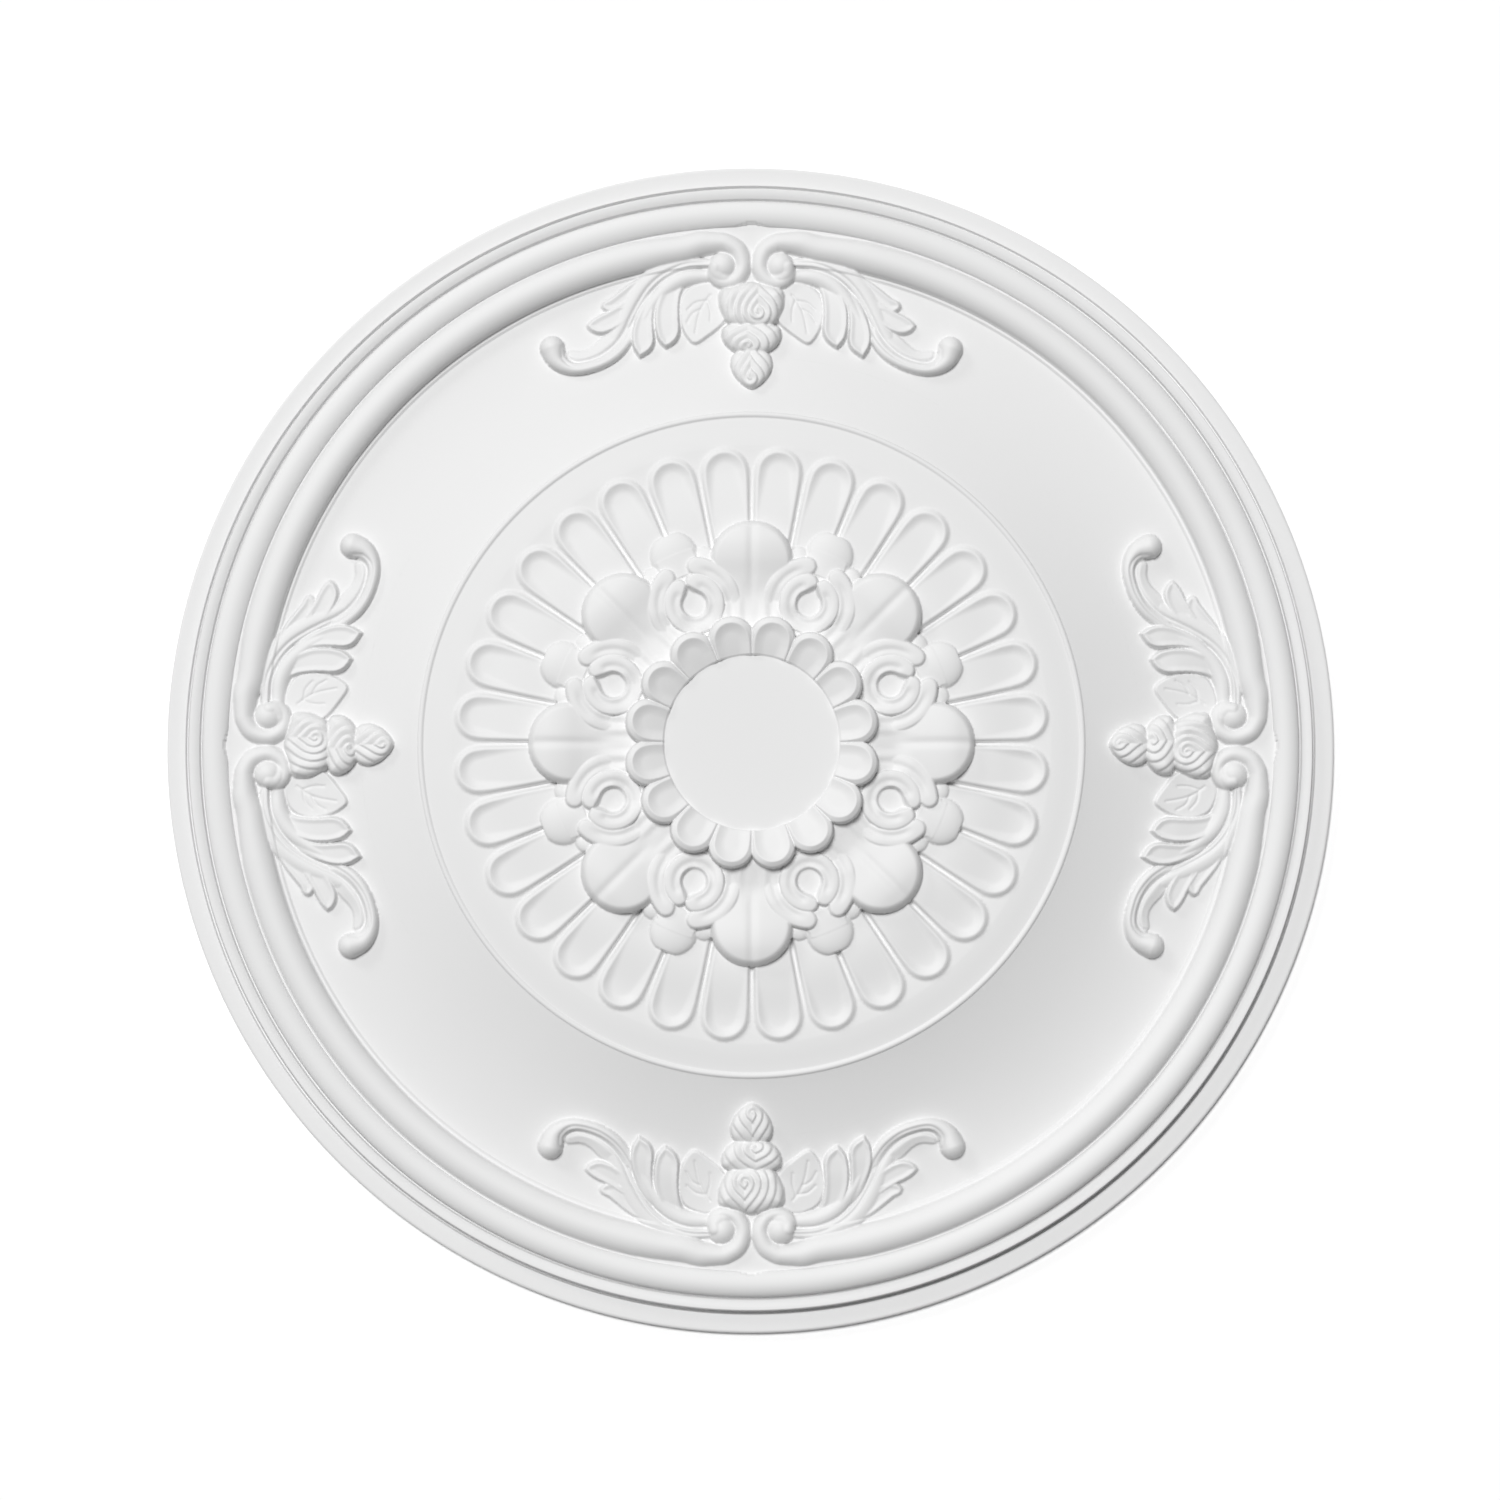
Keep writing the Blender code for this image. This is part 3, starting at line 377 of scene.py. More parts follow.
def leaf_height(x, y):
    """Left acanthus leaf over the field: filleted blades, creased lobes, web, tail and a grooved midrib."""
    leaf = np.full(x.shape, NOTHING)
    for stations in LEAF_BLADES:
        leaf = smooth_max(leaf, stroke_height(x, y, stations, 0.6), 1.2)
    for stations in LEAF_LOBES:
        leaf = np.maximum(leaf, lobe_height(x, y, stations))
    leaf = np.maximum(leaf, stroke_height(x, y, CURLED_TAIL, 0.48))
    depth = depth_inside(x, y, LEAF_WEB)
    web = 2.2 * np.clip(depth / 1.2, 0.0, 1.0) + 1.8 * ramp(depth / 8.0)
    leaf = np.maximum(leaf, np.where(depth > 0.0, web, NOTHING))
    away = distance_to(x, y, MIDRIB)
    return leaf + 0.8 * np.exp(-((away / 0.9) ** 2)) - np.exp(-(((away - 2.1) / 0.8) ** 2))


# %% [markdown]
# Between acanthus and flower heads lies a plain leaf, cut flat and engraved. Its veins are grooves
# with a bell-shaped section, which have no hard edge that a coarse mesh could break up.

# %% Flat leaf
VEIN_DEPTH = 0.8
FLAT_LEAF_RISE = 3.4


def flat_leaf_height(x, y):
    """The flat leaf beside the flower heads: a low plate with a bevelled edge and engraved veins."""
    depth = depth_inside(x, y, FLAT_LEAF)
    plate = FLAT_LEAF_RISE * np.clip(depth / 1.4, 0.0, 1.0)
    for vein in FLAT_LEAF_VEINS:
        plate = plate - VEIN_DEPTH * np.exp(-((distance_to(x, y, vein) / 0.7) ** 2))
    return np.where(depth > 0.0, plate, NOTHING)


# %% [markdown]
# The flower heads are small domes whose petals wind round a core. A spiral step does that with one
# formula, where petals cut one by one would not meet.

# %% Flower heads
BLOOM_ROUND = 10.0
BLOOM_PETAL = 1.9


def bloom_height(x, y, outline, core, spacing, rise, hand, cusp, squash):
    """A domed flower head. Its petals are a saw-tooth of (distance from the core) minus (turn round it);
    the distance is cut down by a cusp towards the top, which draws every petal out to a point there."""
    left = [(-px, py) for px, py in outline[::-1] if px > 0]
    depth = depth_inside(x, y, outline + left)
    across, along = squash * (x - core[0]), y - core[1]
    turn = np.arctan2(across, along)
    reach = np.hypot(across, along) * (1.0 - cusp * np.exp(-np.abs(turn) / 0.5))
    phase = (reach / spacing) ** 0.85 - hand * turn / (2.0 * np.pi)
    saw = phase - np.floor(phase)
    tooth = np.minimum(saw / 0.75, (1.0 - saw) / 0.25) ** 0.7 - 0.5
    petal = BLOOM_PETAL * tooth * ramp(reach / spacing + 0.3)
    dome = rise * arch(1.0 - np.clip(depth / BLOOM_ROUND, 0.0, 1.0), 0.38)
    return np.where(depth > 0.0, dome + petal * ramp(depth / 2.0), NOTHING)


# %% Spray put together
def spray_height(x, y, ground):
    """One whole spray: the highest of leaves, scrolls and flower heads. What is symmetric is drawn on
    the left half only, and the right half reads it at minus x."""
    left = -np.abs(x)
    height = ground + np.maximum(leaf_height(left, y), flat_leaf_height(left, y))
    height = np.maximum(height, np.where((left > -16.0) & (y > 305.0), VALLEY_HEIGHT, NOTHING))
    height = np.maximum(height, scroll_height(left, y))
    for bloom in BLOOMS:
        height = np.maximum(height, ground + bloom_height(x, y, *bloom))
    return height


# %% [markdown]
# ## Petals and collar
# Both rings are round-headed petals side by side. One function gives the depth of a point inside
# its petal, which is all that a rim and a hollow need. The petals are shallow spoons, deepest under
# the round head, as a carver scoops them with one gouge.

# %% Petal ring
PETAL_GAP = 2.0
PETAL_RISE = 3.2
HEAD_FIT = 0.97  # keeps the round heads just clear of each other


def head_and_side(x, y, count, tip, gap):
    """For one of count round-headed petals, the depth from its head's circle and from its sides."""
    across, out = facing(x, y, count, np.pi / count)
    to_side = np.pi / count - np.abs(np.arctan2(across, out))
    side = np.hypot(x, y) * np.sin(to_side) - gap / 2.0
    half_pitch = np.sin(np.pi / count)
    head_radius = (tip * half_pitch - gap / 2.0) / (1.0 + half_pitch) * HEAD_FIT
    head = head_radius - np.hypot(across, np.maximum(out - (tip - head_radius), 0.0))
    return head, side, out


def petal_height(x, y):
    """Spoon-shaped petals: a sloping edge up to a crest, and a hollow that is deepest under the head."""
    head, side, out = head_and_side(x, y, PETAL_COUNT, PETAL_TIP, PETAL_GAP)
    depth = np.minimum(head, side)
    toward_tip = ramp((out - LEAF_TIP) / 39.4)
    crest = 1.9 + 1.2 * toward_tip
    slope = np.clip(depth / crest, 0.0, 1.0)
    into = np.clip((depth - crest) / (2.0 + 5.0 * toward_tip), 0.0, 1.0)
    shallower = 1.0 - 0.35 * ramp((LEAF_TIP + 36.0 - out) / 30.0)
    hollow = (0.5 + 2.1 * toward_tip) * np.sin(np.pi / 2.0 * into) * shallower
    section = PETAL_RISE * (0.6 * slope + 0.4 * arch(1.0 - slope)) - hollow
    height = PLATEAU_HEIGHT + 1.6 * (1.0 - toward_tip) + section
    return np.where((depth > 0.0) & (out > LOBE_TIP), height, NOTHING)


# %% [markdown]
# The lobes of the collar stand round the hub like a crown. Each is a steep wall, a chamfer up to a
# crest, and a dish that falls away to the hub, so that a lamp canopy seems to lie in a cup.

# %% Lobed collar
LOBE_HEAD_RADIUS = 15.4
LOBE_RIM_WIDTH = 4.4
LOBE_RIM_DROP = 3.4
LOBE_FALL = 7.0
LOBE_WALL_RUN = 1.4
LOBE_HOLLOW = 2.2


def collar_height(x, y):
    """Dished lobes: a wall, a chamfer up to a crest, then a dish that falls away towards the hub."""
    across, out = facing(x, y, LOBE_COUNT, np.pi / LOBE_COUNT)
    head = LOBE_HEAD_RADIUS - np.hypot(across, np.maximum(out - (LOBE_TIP - LOBE_HEAD_RADIUS), 0.0))
    side = np.hypot(x, y) * np.sin(np.pi / LOBE_COUNT - np.abs(np.arctan2(across, out)))
    foot = ACANTHUS_TOP - 2.0
    rim_end = LOBE_TIP - LOBE_RIM_WIDTH
    inwards = np.clip((rim_end - out) / (rim_end - HUB_RADIUS), 0.0, 1.0)
    crest = COLLAR_HEIGHT - LOBE_FALL * inwards ** 1.3
    chamfer = LOBE_RIM_DROP * (1.0 - np.clip(head / LOBE_RIM_WIDTH, 0.0, 1.0))
    wall = (crest - LOBE_RIM_DROP - foot) * (1.0 - arch(1.0 - np.clip(head / LOBE_WALL_RUN, 0.0, 1.0)))
    crease = (1.0 - np.clip(side / 1.4, 0.0, 1.0)) ** 2
    into = np.clip(np.minimum(head - LOBE_RIM_WIDTH, side - 1.8) / 7.0, 0.0, 1.0)
    lobe = crest - chamfer - wall - crease - LOBE_HOLLOW * np.sin(np.pi / 2.0 * into)
    return np.where(head > 0.0, lobe, np.where(np.hypot(x, y) < LOBE_TIP - 6.0, foot, NOTHING))


# %% [markdown]
# ## Acanthus ring
# Eight broad leaves lie round the collar. Between each two a trefoil leaf looks out over two
# pairs of folds, which bend round a pointed eyelet. An eyelet is where two lobes of real acanthus
# overlap and leave a drop-shaped gap. A fold is given by its radius round the eyelet, its half
# width, the angle in degrees at which it starts, its foot and its rise. It could be drawn as a
# stroke too, but a bar bent round one point keeps the folds even round the hole.

# %% Drawing of the acanthus ring, in millimetres out from the collar's tips
LEAF_HEAD_RADIUS = 27.2
LEAF_EDGE_DROP = 6.5
LEAF_EDGE_WIDTH = 4.5
LEAF_CREST = [(-6, 1), (5, -0.7), (14, -1), (25, 1.2), (37, 4.2), (47, 4.8), (55, 3.2), (63, 0)]
EYE_OUT = 14.3
EYE_LIP = 9.6
EYE_POINT = 15.0
EYE_DEPTH = 3.4
FOLD_HOLLOW = 1.1
INNER_FOLD = (14.0, 6.4, 23.0, -3.0, 5.2)
OUTER_FOLD = (24.8, 6.2, 25.0, -2.4, 4.0)
TREFOIL_HEAD = (49.2, 15.5, 0.0, 6.4)
TREFOIL_SIDE = (41.0, 6.8, 18.0, 4.0)


# %% Broad leaves
def big_leaf_height(x, y):
    """A broad leaf: a crest line along it, less the square of the distance across, less its rolled edge."""
    across, out = facing(x, y, LEAF_COUNT)
    depth = LEAF_HEAD_RADIUS - np.hypot(across, np.maximum(out - (LEAF_TIP - LEAF_HEAD_RADIUS), 0.0))
    crest = smooth_path(LEAF_CREST)
    along = np.interp(out - LOBE_TIP, crest[:, 0], crest[:, 1])
    near_collar = ramp((LOBE_TIP + 26.0 - out) / 26.0)
    crease = 1.1 * np.exp(-((across / 3.0) ** 2)) - 0.5 * near_collar * np.cos(2.0 * np.pi * across / 8.5)
    surface = ACANTHUS_TOP + along - 2.8 * (across / LEAF_HEAD_RADIUS) ** 2 - crease
    edge = LEAF_EDGE_DROP * (1.0 - np.clip(depth / LEAF_EDGE_WIDTH, 0.0, 1.0)) ** 2
    return np.where((depth > 0.0) & (out > LOBE_TIP - 13.0), surface - edge, NOTHING)


# %% Trefoils and folds
def dome_height(across, out, shape, ground):
    """A low rounded leaf tip: the arch of its depth from a circle."""
    place, radius, aside, rise = shape
    depth = radius - np.hypot(across - aside, out - place)
    dome = ground + rise * arch(1.0 - np.clip(depth / radius, 0.0, 1.0), 0.4)
    return np.where(depth > 0.0, dome, NOTHING)


def fold_height(across, along, fold):
    """A fold bent round the eyelet: a rounded edge a third of its half width wide, less a bell-shaped
    hollow a quarter of the half width inside its middle line."""
    radius, half_width, opening, ground, rise = fold
    clockwise = np.arctan2(across, along)
    way = np.maximum(clockwise, np.radians(opening))
    nearest = np.hypot(across - radius * np.sin(way), along - radius * np.cos(way)) / half_width
    edge = arch(1.0 - np.clip((1.0 - nearest) / 0.32, 0.0, 1.0), 0.6)
    section = 0.85 * edge + 0.15 * arch(nearest, 1.0)
    outwards = (np.hypot(across, along) - radius) / half_width
    past_head = ramp((np.degrees(clockwise) - opening) / 25.0)
    hollow = FOLD_HOLLOW * np.exp(-((outwards + 0.25) / 0.36) ** 2) * past_head
    return np.where(nearest < 1.0, ACANTHUS_TOP + ground + rise * section - hollow, NOTHING)


# %% [markdown]
# The eyelet is cut last, through everything that lies there, as a carver would pierce it. Its drop
# shape is a round hole with two straight cuts that meet in a point.

# %% Eyelets
def depth_in_eyelet(across, along):
    """Depth inside a circle drawn out to a point, from the circle or from its tangent to the point."""
    lean = np.arcsin(EYE_LIP / EYE_POINT)
    beside_point = across * np.cos(lean) + (along - EYE_POINT) * np.sin(lean)
    towards_point = np.arctan2(across, along) < np.pi / 2.0 - lean
    return -np.where(towards_point, beside_point, np.hypot(across, along) - EYE_LIP)


def ringed(across, along):
    """Whether a point lies inside the inner pair of folds."""
    return np.hypot(across, along) < INNER_FOLD[0] + INNER_FOLD[1] - 0.9


def eyelet_height(across, out):
    """Trefoil, two pairs of folds and the pointed eyelet, on the right half of the gap's axis."""
    along = out - EYE_OUT
    ground = PLATEAU_HEIGHT + 4.0
    height = dome_height(across, out, TREFOIL_HEAD, ground)
    height = np.maximum(height, dome_height(across, out, TREFOIL_SIDE, ground))
    stem = (across < 13.0) & (out < TREFOIL_HEAD[0]) & (along > 0.0)
    height = np.maximum(height, np.where(stem, ACANTHUS_TOP - 1.4 - 2.0 * (across / 13.0) ** 2, NOTHING))
    clockwise = np.degrees(np.arctan2(across, along))
    sinking = 3.6 * ramp((clockwise - 78.0) / 45.0)
    height = np.maximum(height, fold_height(across, along, OUTER_FOLD) - sinking)
    sinking = 2.2 * ramp((clockwise - 105.0) / 55.0)
    inner = np.maximum(fold_height(across, along, INNER_FOLD) - sinking, ACANTHUS_TOP - 3.0)
    height = np.where(ringed(across, along), inner, height)
    hole = ramp(depth_in_eyelet(across, along) / 3.6)
    return height + (ACANTHUS_TOP - EYE_DEPTH - height) * hole


# %% Acanthus ring put together
def acanthus_height(x, y):
    """The ring: the eyelet where its folds ring it, and elsewhere the higher of leaf and eyelet."""
    leaf = big_leaf_height(x, y)
    across, out = facing(x, y, LEAF_COUNT, np.pi / LEAF_COUNT)
    across, out = np.abs(across), out - LOBE_TIP
    eyelet = eyelet_height(across, out)
    return np.where(ringed(across, out - EYE_OUT), eyelet, np.maximum(leaf, eyelet))


# %% [markdown]
# ## The whole face
# Every part is laid over the ground by taking the higher one, as a modeller lays ornament on a
# blank before the mould is made. Each ornament is worked out only where it can lie, which saves
# most of the time. Between two scrolls the valley ends in a small peak.

# %% Height of the face
PEAK_RISE = 2.6
PEAK_HALF_WIDTH = 11.0
SPRAY_INNER_END = 228.0
SPRAY_HALF_WIDTH = 147.0


def face_height(x, y):
    """Height over the back at every (x, y): the highest of the ground and all that is laid on it."""
    radius = np.hypot(x, y)
    height = turned_height(radius)
    across, out = facing(x, y, SPRAY_COUNT)
    peak = VALLEY_RADIUS + PEAK_RISE * (1.0 - np.abs(across) / PEAK_HALF_WIDTH)
    height = np.where((radius < peak) & (radius > BAND_RADIUS), VALLEY_HEIGHT, height)
    height = np.maximum(height, band_height(across, out))
    near = (radius > SPRAY_INNER_END) & (radius < VALLEY_RADIUS) & (np.abs(across) < SPRAY_HALF_WIDTH)
    if near.any():
        ground = turned_height(np.minimum(radius[near], FIELD_RADIUS))
        height[near] = np.maximum(height[near], spray_height(across[near], out[near], ground))
    rings = ((petal_height, PETAL_TIP), (acanthus_height, LEAF_TIP + 1.0), (collar_height, LOBE_TIP))
    for carving, reach in rings:
        inside = radius < reach
        if inside.any():
            height[inside] = np.maximum(height[inside], carving(x[inside], y[inside]))
    return np.where(radius <= HUB_RADIUS + 1e-6, HUB_HEIGHT, height)


# %% [markdown]
# ## From heights to closed pieces
# One mesh of the whole face would be too heavy to pass on, so the casting is cut like a cake, at
# rings and spokes. Each cut piece is a closed block: the carved top, upright walls and the flat
# back. Neighbours are cut from the same heights, so a seam hardly shows.

# %% Points and faces of a grid
def ring_points(radii, angles, heights):
    """Points at every radius and clockwise angle from +Y, with the height function's z."""
    x = np.outer(radii, np.sin(angles))
    y = np.outer(radii, np.cos(angles))
    return np.dstack([x, y, heights(x, y)]).reshape(-1, 3)


def flat(x, y):
    """The back, at height 0."""
    return np.zeros(x.shape)


def grid_faces(first, rows, columns, closed):
    """Quads of a grid whose rows run inwards and whose columns run clockwise, so that they face up."""
    row = first + columns * np.arange(rows - 1)[:, None]
    here = np.arange(columns if closed else columns - 1)
    after = (here + 1) % columns
    corners = [row + here, row + columns + here, row + columns + after, row + after]
    return np.stack(corners, axis=2).reshape(-1, 4)


# %% A closed block
def finished(name, points, faces, carved, border):
    """A mesh object at the origin: carved faces smooth, walls and back flat, border edges sharp."""
    mesh = bpy.data.meshes.new(name)
    mesh.from_pydata((points * MILLIMETRE).tolist(), [], faces)
    mesh.polygons.foreach_set("use_smooth", np.arange(len(faces)) < carved)
    ends = np.empty(2 * len(mesh.edges), np.int32)
    mesh.edges.foreach_get("vertices", ends)
    on_border = np.isin(ends.reshape(-1, 2), border)
    mesh.edges.foreach_set("use_edge_sharp", on_border.all(axis=1))
    mesh.update()
    piece = bpy.data.objects.new(name, mesh)
    bpy.context.scene.collection.objects.link(piece)
    print(name, sum(len(face) - 2 for face in faces), "triangles")
    return piece


def block(name, radii, angles, closed=False):
    """A closed block between two radii and two angles, or a whole ring where closed."""
    rows, columns = len(radii), len(angles)
    top = ring_points(radii, angles, face_height)
    under = ring_points(radii[[0, -1]], angles, flat)
    below = len(top)
    faces = grid_faces(0, rows, columns, closed).tolist()
    carved = len(faces)
    here = np.arange(columns if closed else columns - 1)
    after = (here + 1) % columns
    last = columns * (rows - 1)
    faces += np.stack([below + here, here, after, below + after], axis=1).tolist()
    inner = below + columns
    faces += np.stack([last + here, inner + here, inner + after, last + after], axis=1).tolist()
    faces += np.stack([below + here, below + after, inner + after, inner + here], axis=1).tolist()
    border = np.concatenate([np.arange(columns), last + np.arange(columns)])
    if not closed:
        spoke = columns * np.arange(rows)
        faces.append([below] + [inner] + spoke[::-1].tolist())
        faces.append((spoke + columns - 1).tolist() + [inner + columns - 1, below + columns - 1])
        border = np.concatenate([border, spoke, spoke + columns - 1])
    return finished(name, np.vstack([top, under]), faces, carved, border)


# %% [markdown]
# Most cuts run round just outside a group of ornament. Where one crosses a bud or the petals it does
# no harm, because both blocks read the same heights there. The steps of a block suit what it carries:
# fractions of a millimetre over an edge, and several millimetres over a plain slope.

# %% Cuts through the casting
def steps_between(start, end, size):
    """Equal steps of about the given size from start to end, both included."""
    return np.linspace(start, end, int(round(abs(end - start) / size)) + 1)


def turn_angles(count):
    """Count equal angles round a whole turn, in radians."""
    return np.arange(count) * 2.0 * np.pi / count


SPRAY_INNER = 256.0
MIDDLE_OUTER = 219.0
LEAF_RING_OUTER = 148.0
LEAF_RING_INNER = 84.0
pieces = []
print("cut at", [round(cut, 1) for cut in (VALLEY_RADIUS, SPRAY_INNER, MIDDLE_OUTER)],
      "and at", LEAF_RING_OUTER, "and", LEAF_RING_INNER, "mm from the middle")

# %% [markdown]
# The rim is turned, so it needs many rings across its mouldings and only moderate steps round.

# %% Rim
rim_radii = np.concatenate([
    steps_between(OUTER_RADIUS, OUTER_RADIUS - 2.5, 0.4), [OUTER_RADIUS - 8.0],
    steps_between(STEP_RADIUS + 3.2, STEP_RADIUS - 1.2, 0.3),
    steps_between(TORUS_RADIUS + 2.4, TORUS_RADIUS + 0.02, 0.3),
    (TORUS_RADIUS + VALLEY_RADIUS) / 2.0
    + (TORUS_RADIUS - VALLEY_RADIUS) / 2.0 * np.cos(np.linspace(0.0, np.pi, 20)),
])
rim_angles = np.radians(np.concatenate([
    90.0 * quarter + np.concatenate([np.linspace(-2.0, 2.0, 41), np.linspace(2.0, 88.0, 120)[1:-1]])
    for quarter in range(4)]))
pieces.append(block("rose_rim", rim_radii, rim_angles, closed=True))

# %% [markdown]
# A quarter of the scroll band and field holds one spray. Its steps are fine across the spray and
# coarse over the plain field between two sprays. The quarter is worked out once and turned by
# right angles, as a mould maker would repeat one model.

# %% Spray quarters
spray_angles = np.radians(np.concatenate([
    np.linspace(-45.0, -29.4, 14)[:-1], np.linspace(-29.4, 29.4, 420), np.linspace(29.4, 45.0, 14)[1:]]))
spray_radii = steps_between(VALLEY_RADIUS, SPRAY_INNER, 0.74)
first_quarter = block("rose_spray_1", spray_radii, spray_angles)
pieces.append(first_quarter)
for quarter in (1, 2, 3):
    mesh = first_quarter.data.copy()
    places = np.empty(len(mesh.vertices) * 3, np.float32)
    mesh.vertices.foreach_get("co", places)
    x, y, z = places.reshape(-1, 3).T
    turned_x, turned_y = ((y, -x), (-x, -y), (-y, x))[quarter - 1]
    turned = np.column_stack([turned_x, turned_y, z])
    mesh.vertices.foreach_set("co", turned.astype(np.float32).ravel())
    mesh.update()
    piece = bpy.data.objects.new(f"rose_spray_{quarter + 1}", mesh)
    bpy.context.scene.collection.objects.link(piece)
    pieces.append(piece)
    print(piece.name, "turned by", 90 * quarter, "degrees")

# %% [markdown]
# Only the last flower head of each spray reaches into the inner field, so this ring is fine at four
# places and coarse between them.

# %% Inner field, with the buds that close each spray
bud_angles = np.radians(np.concatenate([
    90.0 * quarter + np.concatenate([np.linspace(-4.4, 4.4, 70), np.linspace(4.4, 85.6, 60)[1:-1]])
    for quarter in range(4)]))
pieces.append(block("rose_field", steps_between(SPRAY_INNER, MIDDLE_OUTER, 0.72), bud_angles, closed=True))

# %% [markdown]
# The inner rings have a whole number of steps for each petal, leaf or lobe, so every copy of an
# ornament is cut by the grid in the same way and all copies look alike.

# %% Petal ring with the bead round it
petal_radii = np.concatenate([
    steps_between(MIDDLE_OUTER, 213.0, 0.5), [205.0],
    steps_between(PETAL_TIP + 1.5, LEAF_RING_OUTER, 1.0)])
pieces.append(block("rose_petals", petal_radii, turn_angles(PETAL_COUNT * 34), closed=True))

# %% [markdown]
# The acanthus ring has the deepest carving and needs fine steps both ways. As one block it would be
# too heavy, so it is cut in two halves, along the middle crease of two leaves that lie opposite.

# %% Acanthus ring in two halves
leaf_radii = steps_between(LEAF_RING_OUTER, LEAF_RING_INNER, 0.68)
for side, start in (("left", np.pi), ("right", 0.0)):
    angles = start + np.linspace(0.0, np.pi, 529)
    pieces.append(block(f"rose_acanthus_{side}", leaf_radii, angles))

# %% [markdown]
# The collar's block also closes over the flat hub. A polar grid crowds its points in the middle, so
# the hub gets a few wide rings and a fan of triangles round one point.

# %% Collar and hub
def disc(name, radii, angles):
    """A whole round block that closes over the middle of the hub."""
    columns = len(angles)
    top = ring_points(radii, angles, face_height)
    under = ring_points(radii[:1], angles, flat)
    middle = np.array([[0.0, 0.0, HUB_HEIGHT], [0.0, 0.0, 0.0]])
    below, hub = len(top), len(top) + columns
    here = np.arange(columns)
    after = (here + 1) % columns
    last = columns * (len(radii) - 1)
    faces = grid_faces(0, len(radii), columns, True).tolist()
    faces += np.stack([last + here, np.full(columns, hub), last + after], axis=1).tolist()
    carved = len(faces)
    faces += np.stack([below + here, here, after, below + after], axis=1).tolist()
    faces += np.stack([below + here, below + after, np.full(columns, hub + 1)], axis=1).tolist()
    return finished(name, np.vstack([top, under, middle]), faces, carved, here)


collar_radii = np.append(steps_between(LEAF_RING_INNER, HUB_RADIUS, 0.6), [HUB_RADIUS - 0.5, 52.0, 30.0])
pieces.append(disc("rose_collar", collar_radii, turn_angles(LOBE_COUNT * 50)))

# %% [markdown]
# ## Primed foam
# The casting is rigid polyurethane foam. Its moulded skin is dense and smooth, and the factory
# primer is a matt white paint, sprayed on. The eye sees an even, chalky white with a hint of
# orange peel and almost no gloss.

# %% Colour and node helpers
def linear(hex_colour):
    """sRGB hex to linear colour: each channel over 12.92 when small, else ((c + 0.055) / 1.055) to 2.4."""
    channels = [int(hex_colour[i:i + 2], 16) / 255.0 for i in (1, 3, 5)]
    return [c / 12.92 if c <= 0.04045 else ((c + 0.055) / 1.055) ** 2.4 for c in channels] + [1.0]


def node(tree, kind, settings=(), links=()):
    """Adds a node, sets its properties or sockets by name and links (socket, source socket) pairs."""
    made = tree.nodes.new(kind)
    for name, value in settings:
        if name in made.inputs:
            made.inputs[name].default_value = value
        else:
            setattr(made, name, value)
    for name, source in links:
        tree.links.new(source, made.inputs[name])
    return made


# %% [markdown]
# Primer is a thin film over a moulded skin. Its colour is one light grey-white, which a slow noise
# makes cloudy by a shade, and the peel is a bump and no relief, because it is a few hundredths of a
# millimetre high.

# %% Matt white primer on polyurethane
PEEL_WIDTH = 0.0015


def primed_polyurethane():
    """Sprayed matt primer: a faint cloudiness of tone and a fine orange peel about 1.5 mm across."""
    material = bpy.data.materials.new("matt_primed_polyurethane")
    material.use_nodes = True
    tree = material.node_tree
    shader = tree.nodes["Principled BSDF"]
    shader.inputs["IOR"].default_value = 1.49
    place = node(tree, "ShaderNodeTexCoord")
    on_piece = (("Vector", place.outputs["Object"]),)
    cloud = node(tree, "ShaderNodeTexNoise", (("Scale", 9.0), ("Detail", 3.0)), on_piece)
    tone = node(tree, "ShaderNodeValToRGB", (), (("Fac", cloud.outputs["Fac"]),))
    tone.color_ramp.elements[0].color = linear("#DCDCDC")
    tone.color_ramp.elements[1].color = linear("#DFDFDF")
    tree.links.new(tone.outputs["Color"], shader.inputs["Base Color"])
    dull = node(tree, "ShaderNodeMapRange", (("To Min", 0.58), ("To Max", 0.7)),
                (("Value", cloud.outputs["Fac"]),))
    tree.links.new(dull.outputs["Result"], shader.inputs["Roughness"])
    peel = node(tree, "ShaderNodeTexNoise", (("Scale", 1.0 / PEEL_WIDTH), ("Detail", 2.0)), on_piece)
    bump = node(tree, "ShaderNodeBump", (("Strength", 0.12), ("Distance", 0.00006)),
                (("Height", peel.outputs["Fac"]),))
    tree.links.new(bump.outputs["Normal"], shader.inputs["Normal"])
    return material


primer = primed_polyurethane()
for piece in pieces:
    piece.data.materials.clear()
    piece.data.materials.append(primer)
    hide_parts("ceiling_rose")
    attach(piece, "root")
print(len(pieces), "pieces,", sum(len(p.data.polygons) for p in pieces), "faces")

# %% [markdown]
# ## Studio
# The rose lies on its back on a white surface, which is wide enough to fill the picture also from a
# low angle. The sheet lies a fifth of a millimetre under the back, so that the two don't flicker.

# %% Floor
FLOOR_HALF_WIDTH = 20.0
FLOOR_DROP = 0.0002


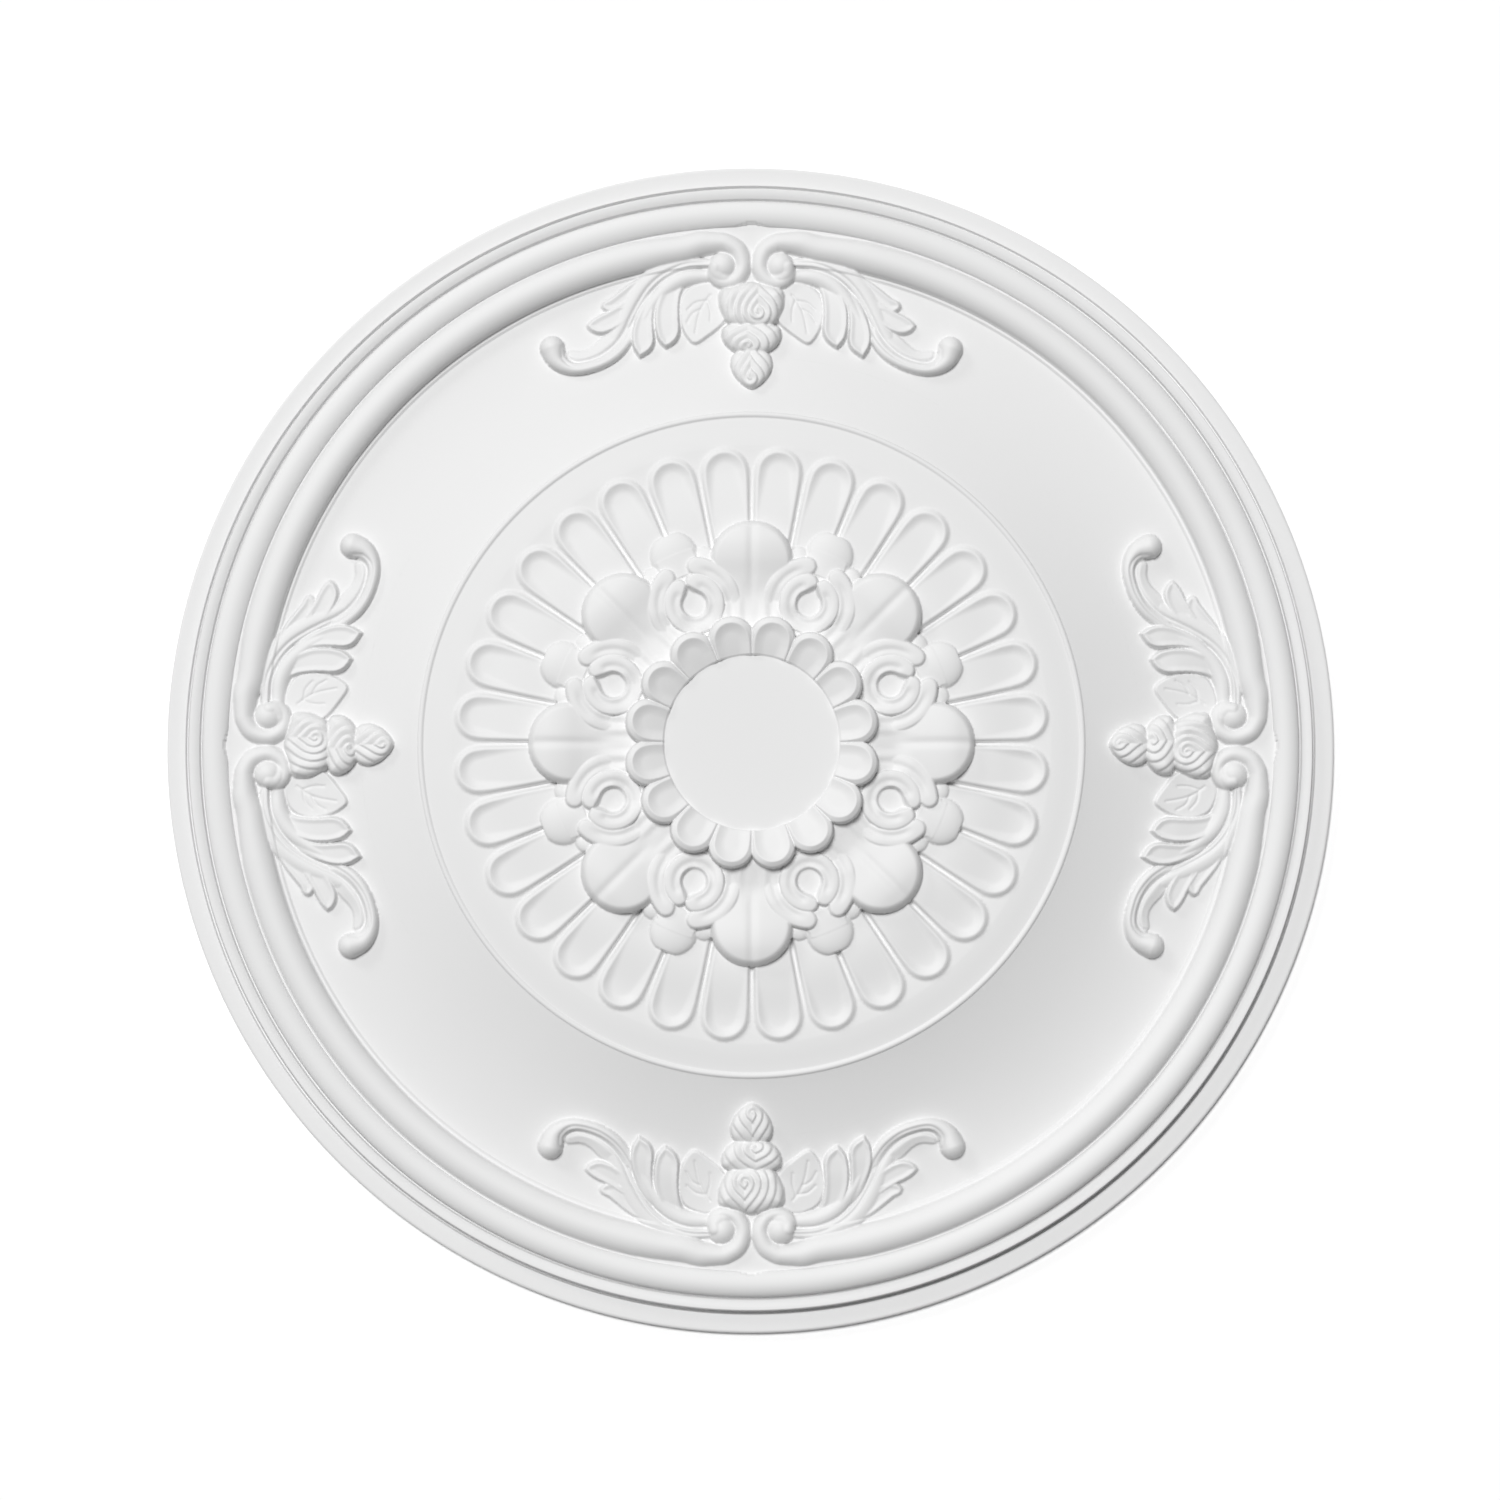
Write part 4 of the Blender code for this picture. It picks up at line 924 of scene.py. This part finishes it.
def pale_floor():
    """A wide flat sheet just under the back."""
    half = FLOOR_HALF_WIDTH
    mesh = bpy.data.meshes.new("floor")
    corners = [(x, y, -FLOOR_DROP) for x, y in ((-half, -half), (half, -half), (half, half), (-half, half))]
    mesh.from_pydata(corners, [], [(0, 1, 2, 3)])
    floor = bpy.data.objects.new("floor", mesh)
    bpy.context.scene.collection.objects.link(floor)
    material = bpy.data.materials.new("white_studio_sheet")
    material.use_nodes = True
    shader = material.node_tree.nodes["Principled BSDF"]
    shader.inputs["Base Color"].default_value = linear("#FBFBFB")
    shader.inputs["Roughness"].default_value = 0.9
    mesh.materials.append(material)
    print("floor", 2 * half, "m wide")


pale_floor()

# %% [markdown]
# White relief is only seen by its shading. A wide light stands high over the top edge and models the
# large forms. A weak one comes in low from the upper left and catches the small edges. An even white
# surround fills the shadows.

# %% Lights
def soft_sun(name, place, spread, strength):
    """A far, wide light: parallel rays from a place towards the rose, spread over an angle in degrees."""
    light = bpy.data.lights.new(name, "SUN")
    light.angle = np.radians(spread)
    light.energy = strength
    lamp = bpy.data.objects.new(name, light)
    lamp.location = place
    lamp.rotation_euler = (-Vector(place)).to_track_quat("-Z", "Y").to_euler()
    bpy.context.scene.collection.objects.link(lamp)
    print(name, "at strength", strength, "spread over", spread, "degrees")


world = bpy.data.worlds.new("surround")
world.use_nodes = True
world.node_tree.nodes["Background"].inputs["Color"].default_value = (1.0, 1.0, 1.0, 1.0)
world.node_tree.nodes["Background"].inputs["Strength"].default_value = 0.2
bpy.context.scene.world = world
soft_sun("high_key", (-0.64, 1.1, 3.0), 18.0, 2.7)
soft_sun("low_side_light", (-1.0, 1.05, 0.8), 14.0, 0.42)
bpy.context.scene.view_settings.view_transform = "Standard"

# %% [markdown]
# The camera looks almost straight down. It stands a little towards the lower edge, which is why
# the raised middle of the rose seems to shift up against its rim.

# %% Camera
CAMERA_DISTANCE = 2.7
LEAN_TO_LOWER_EDGE = 3.0
LEAN_TO_LEFT = 0.47
FRAME_WIDTH = 0.9902
AIM = Vector((-0.0008, -0.0024, 0.004))
camera_data = bpy.data.cameras.new("camera")
camera_data.sensor_width = 36.0
camera_data.lens = 36.0 * CAMERA_DISTANCE / FRAME_WIDTH
camera = bpy.data.objects.new("camera", camera_data)
away = Vector((-np.sin(np.radians(LEAN_TO_LEFT)), -np.sin(np.radians(LEAN_TO_LOWER_EDGE)), 1.0)).normalized()
camera.location = AIM + away * CAMERA_DISTANCE
across = Vector((0.0, 1.0, 0.0)).cross(away).normalized()
camera.rotation_euler = Matrix((across, away.cross(across), away)).transposed().to_euler()
bpy.context.scene.collection.objects.link(camera)
bpy.context.scene.camera = camera
print("camera", CAMERA_DISTANCE, "m off with a", round(camera_data.lens, 1), "mm lens")
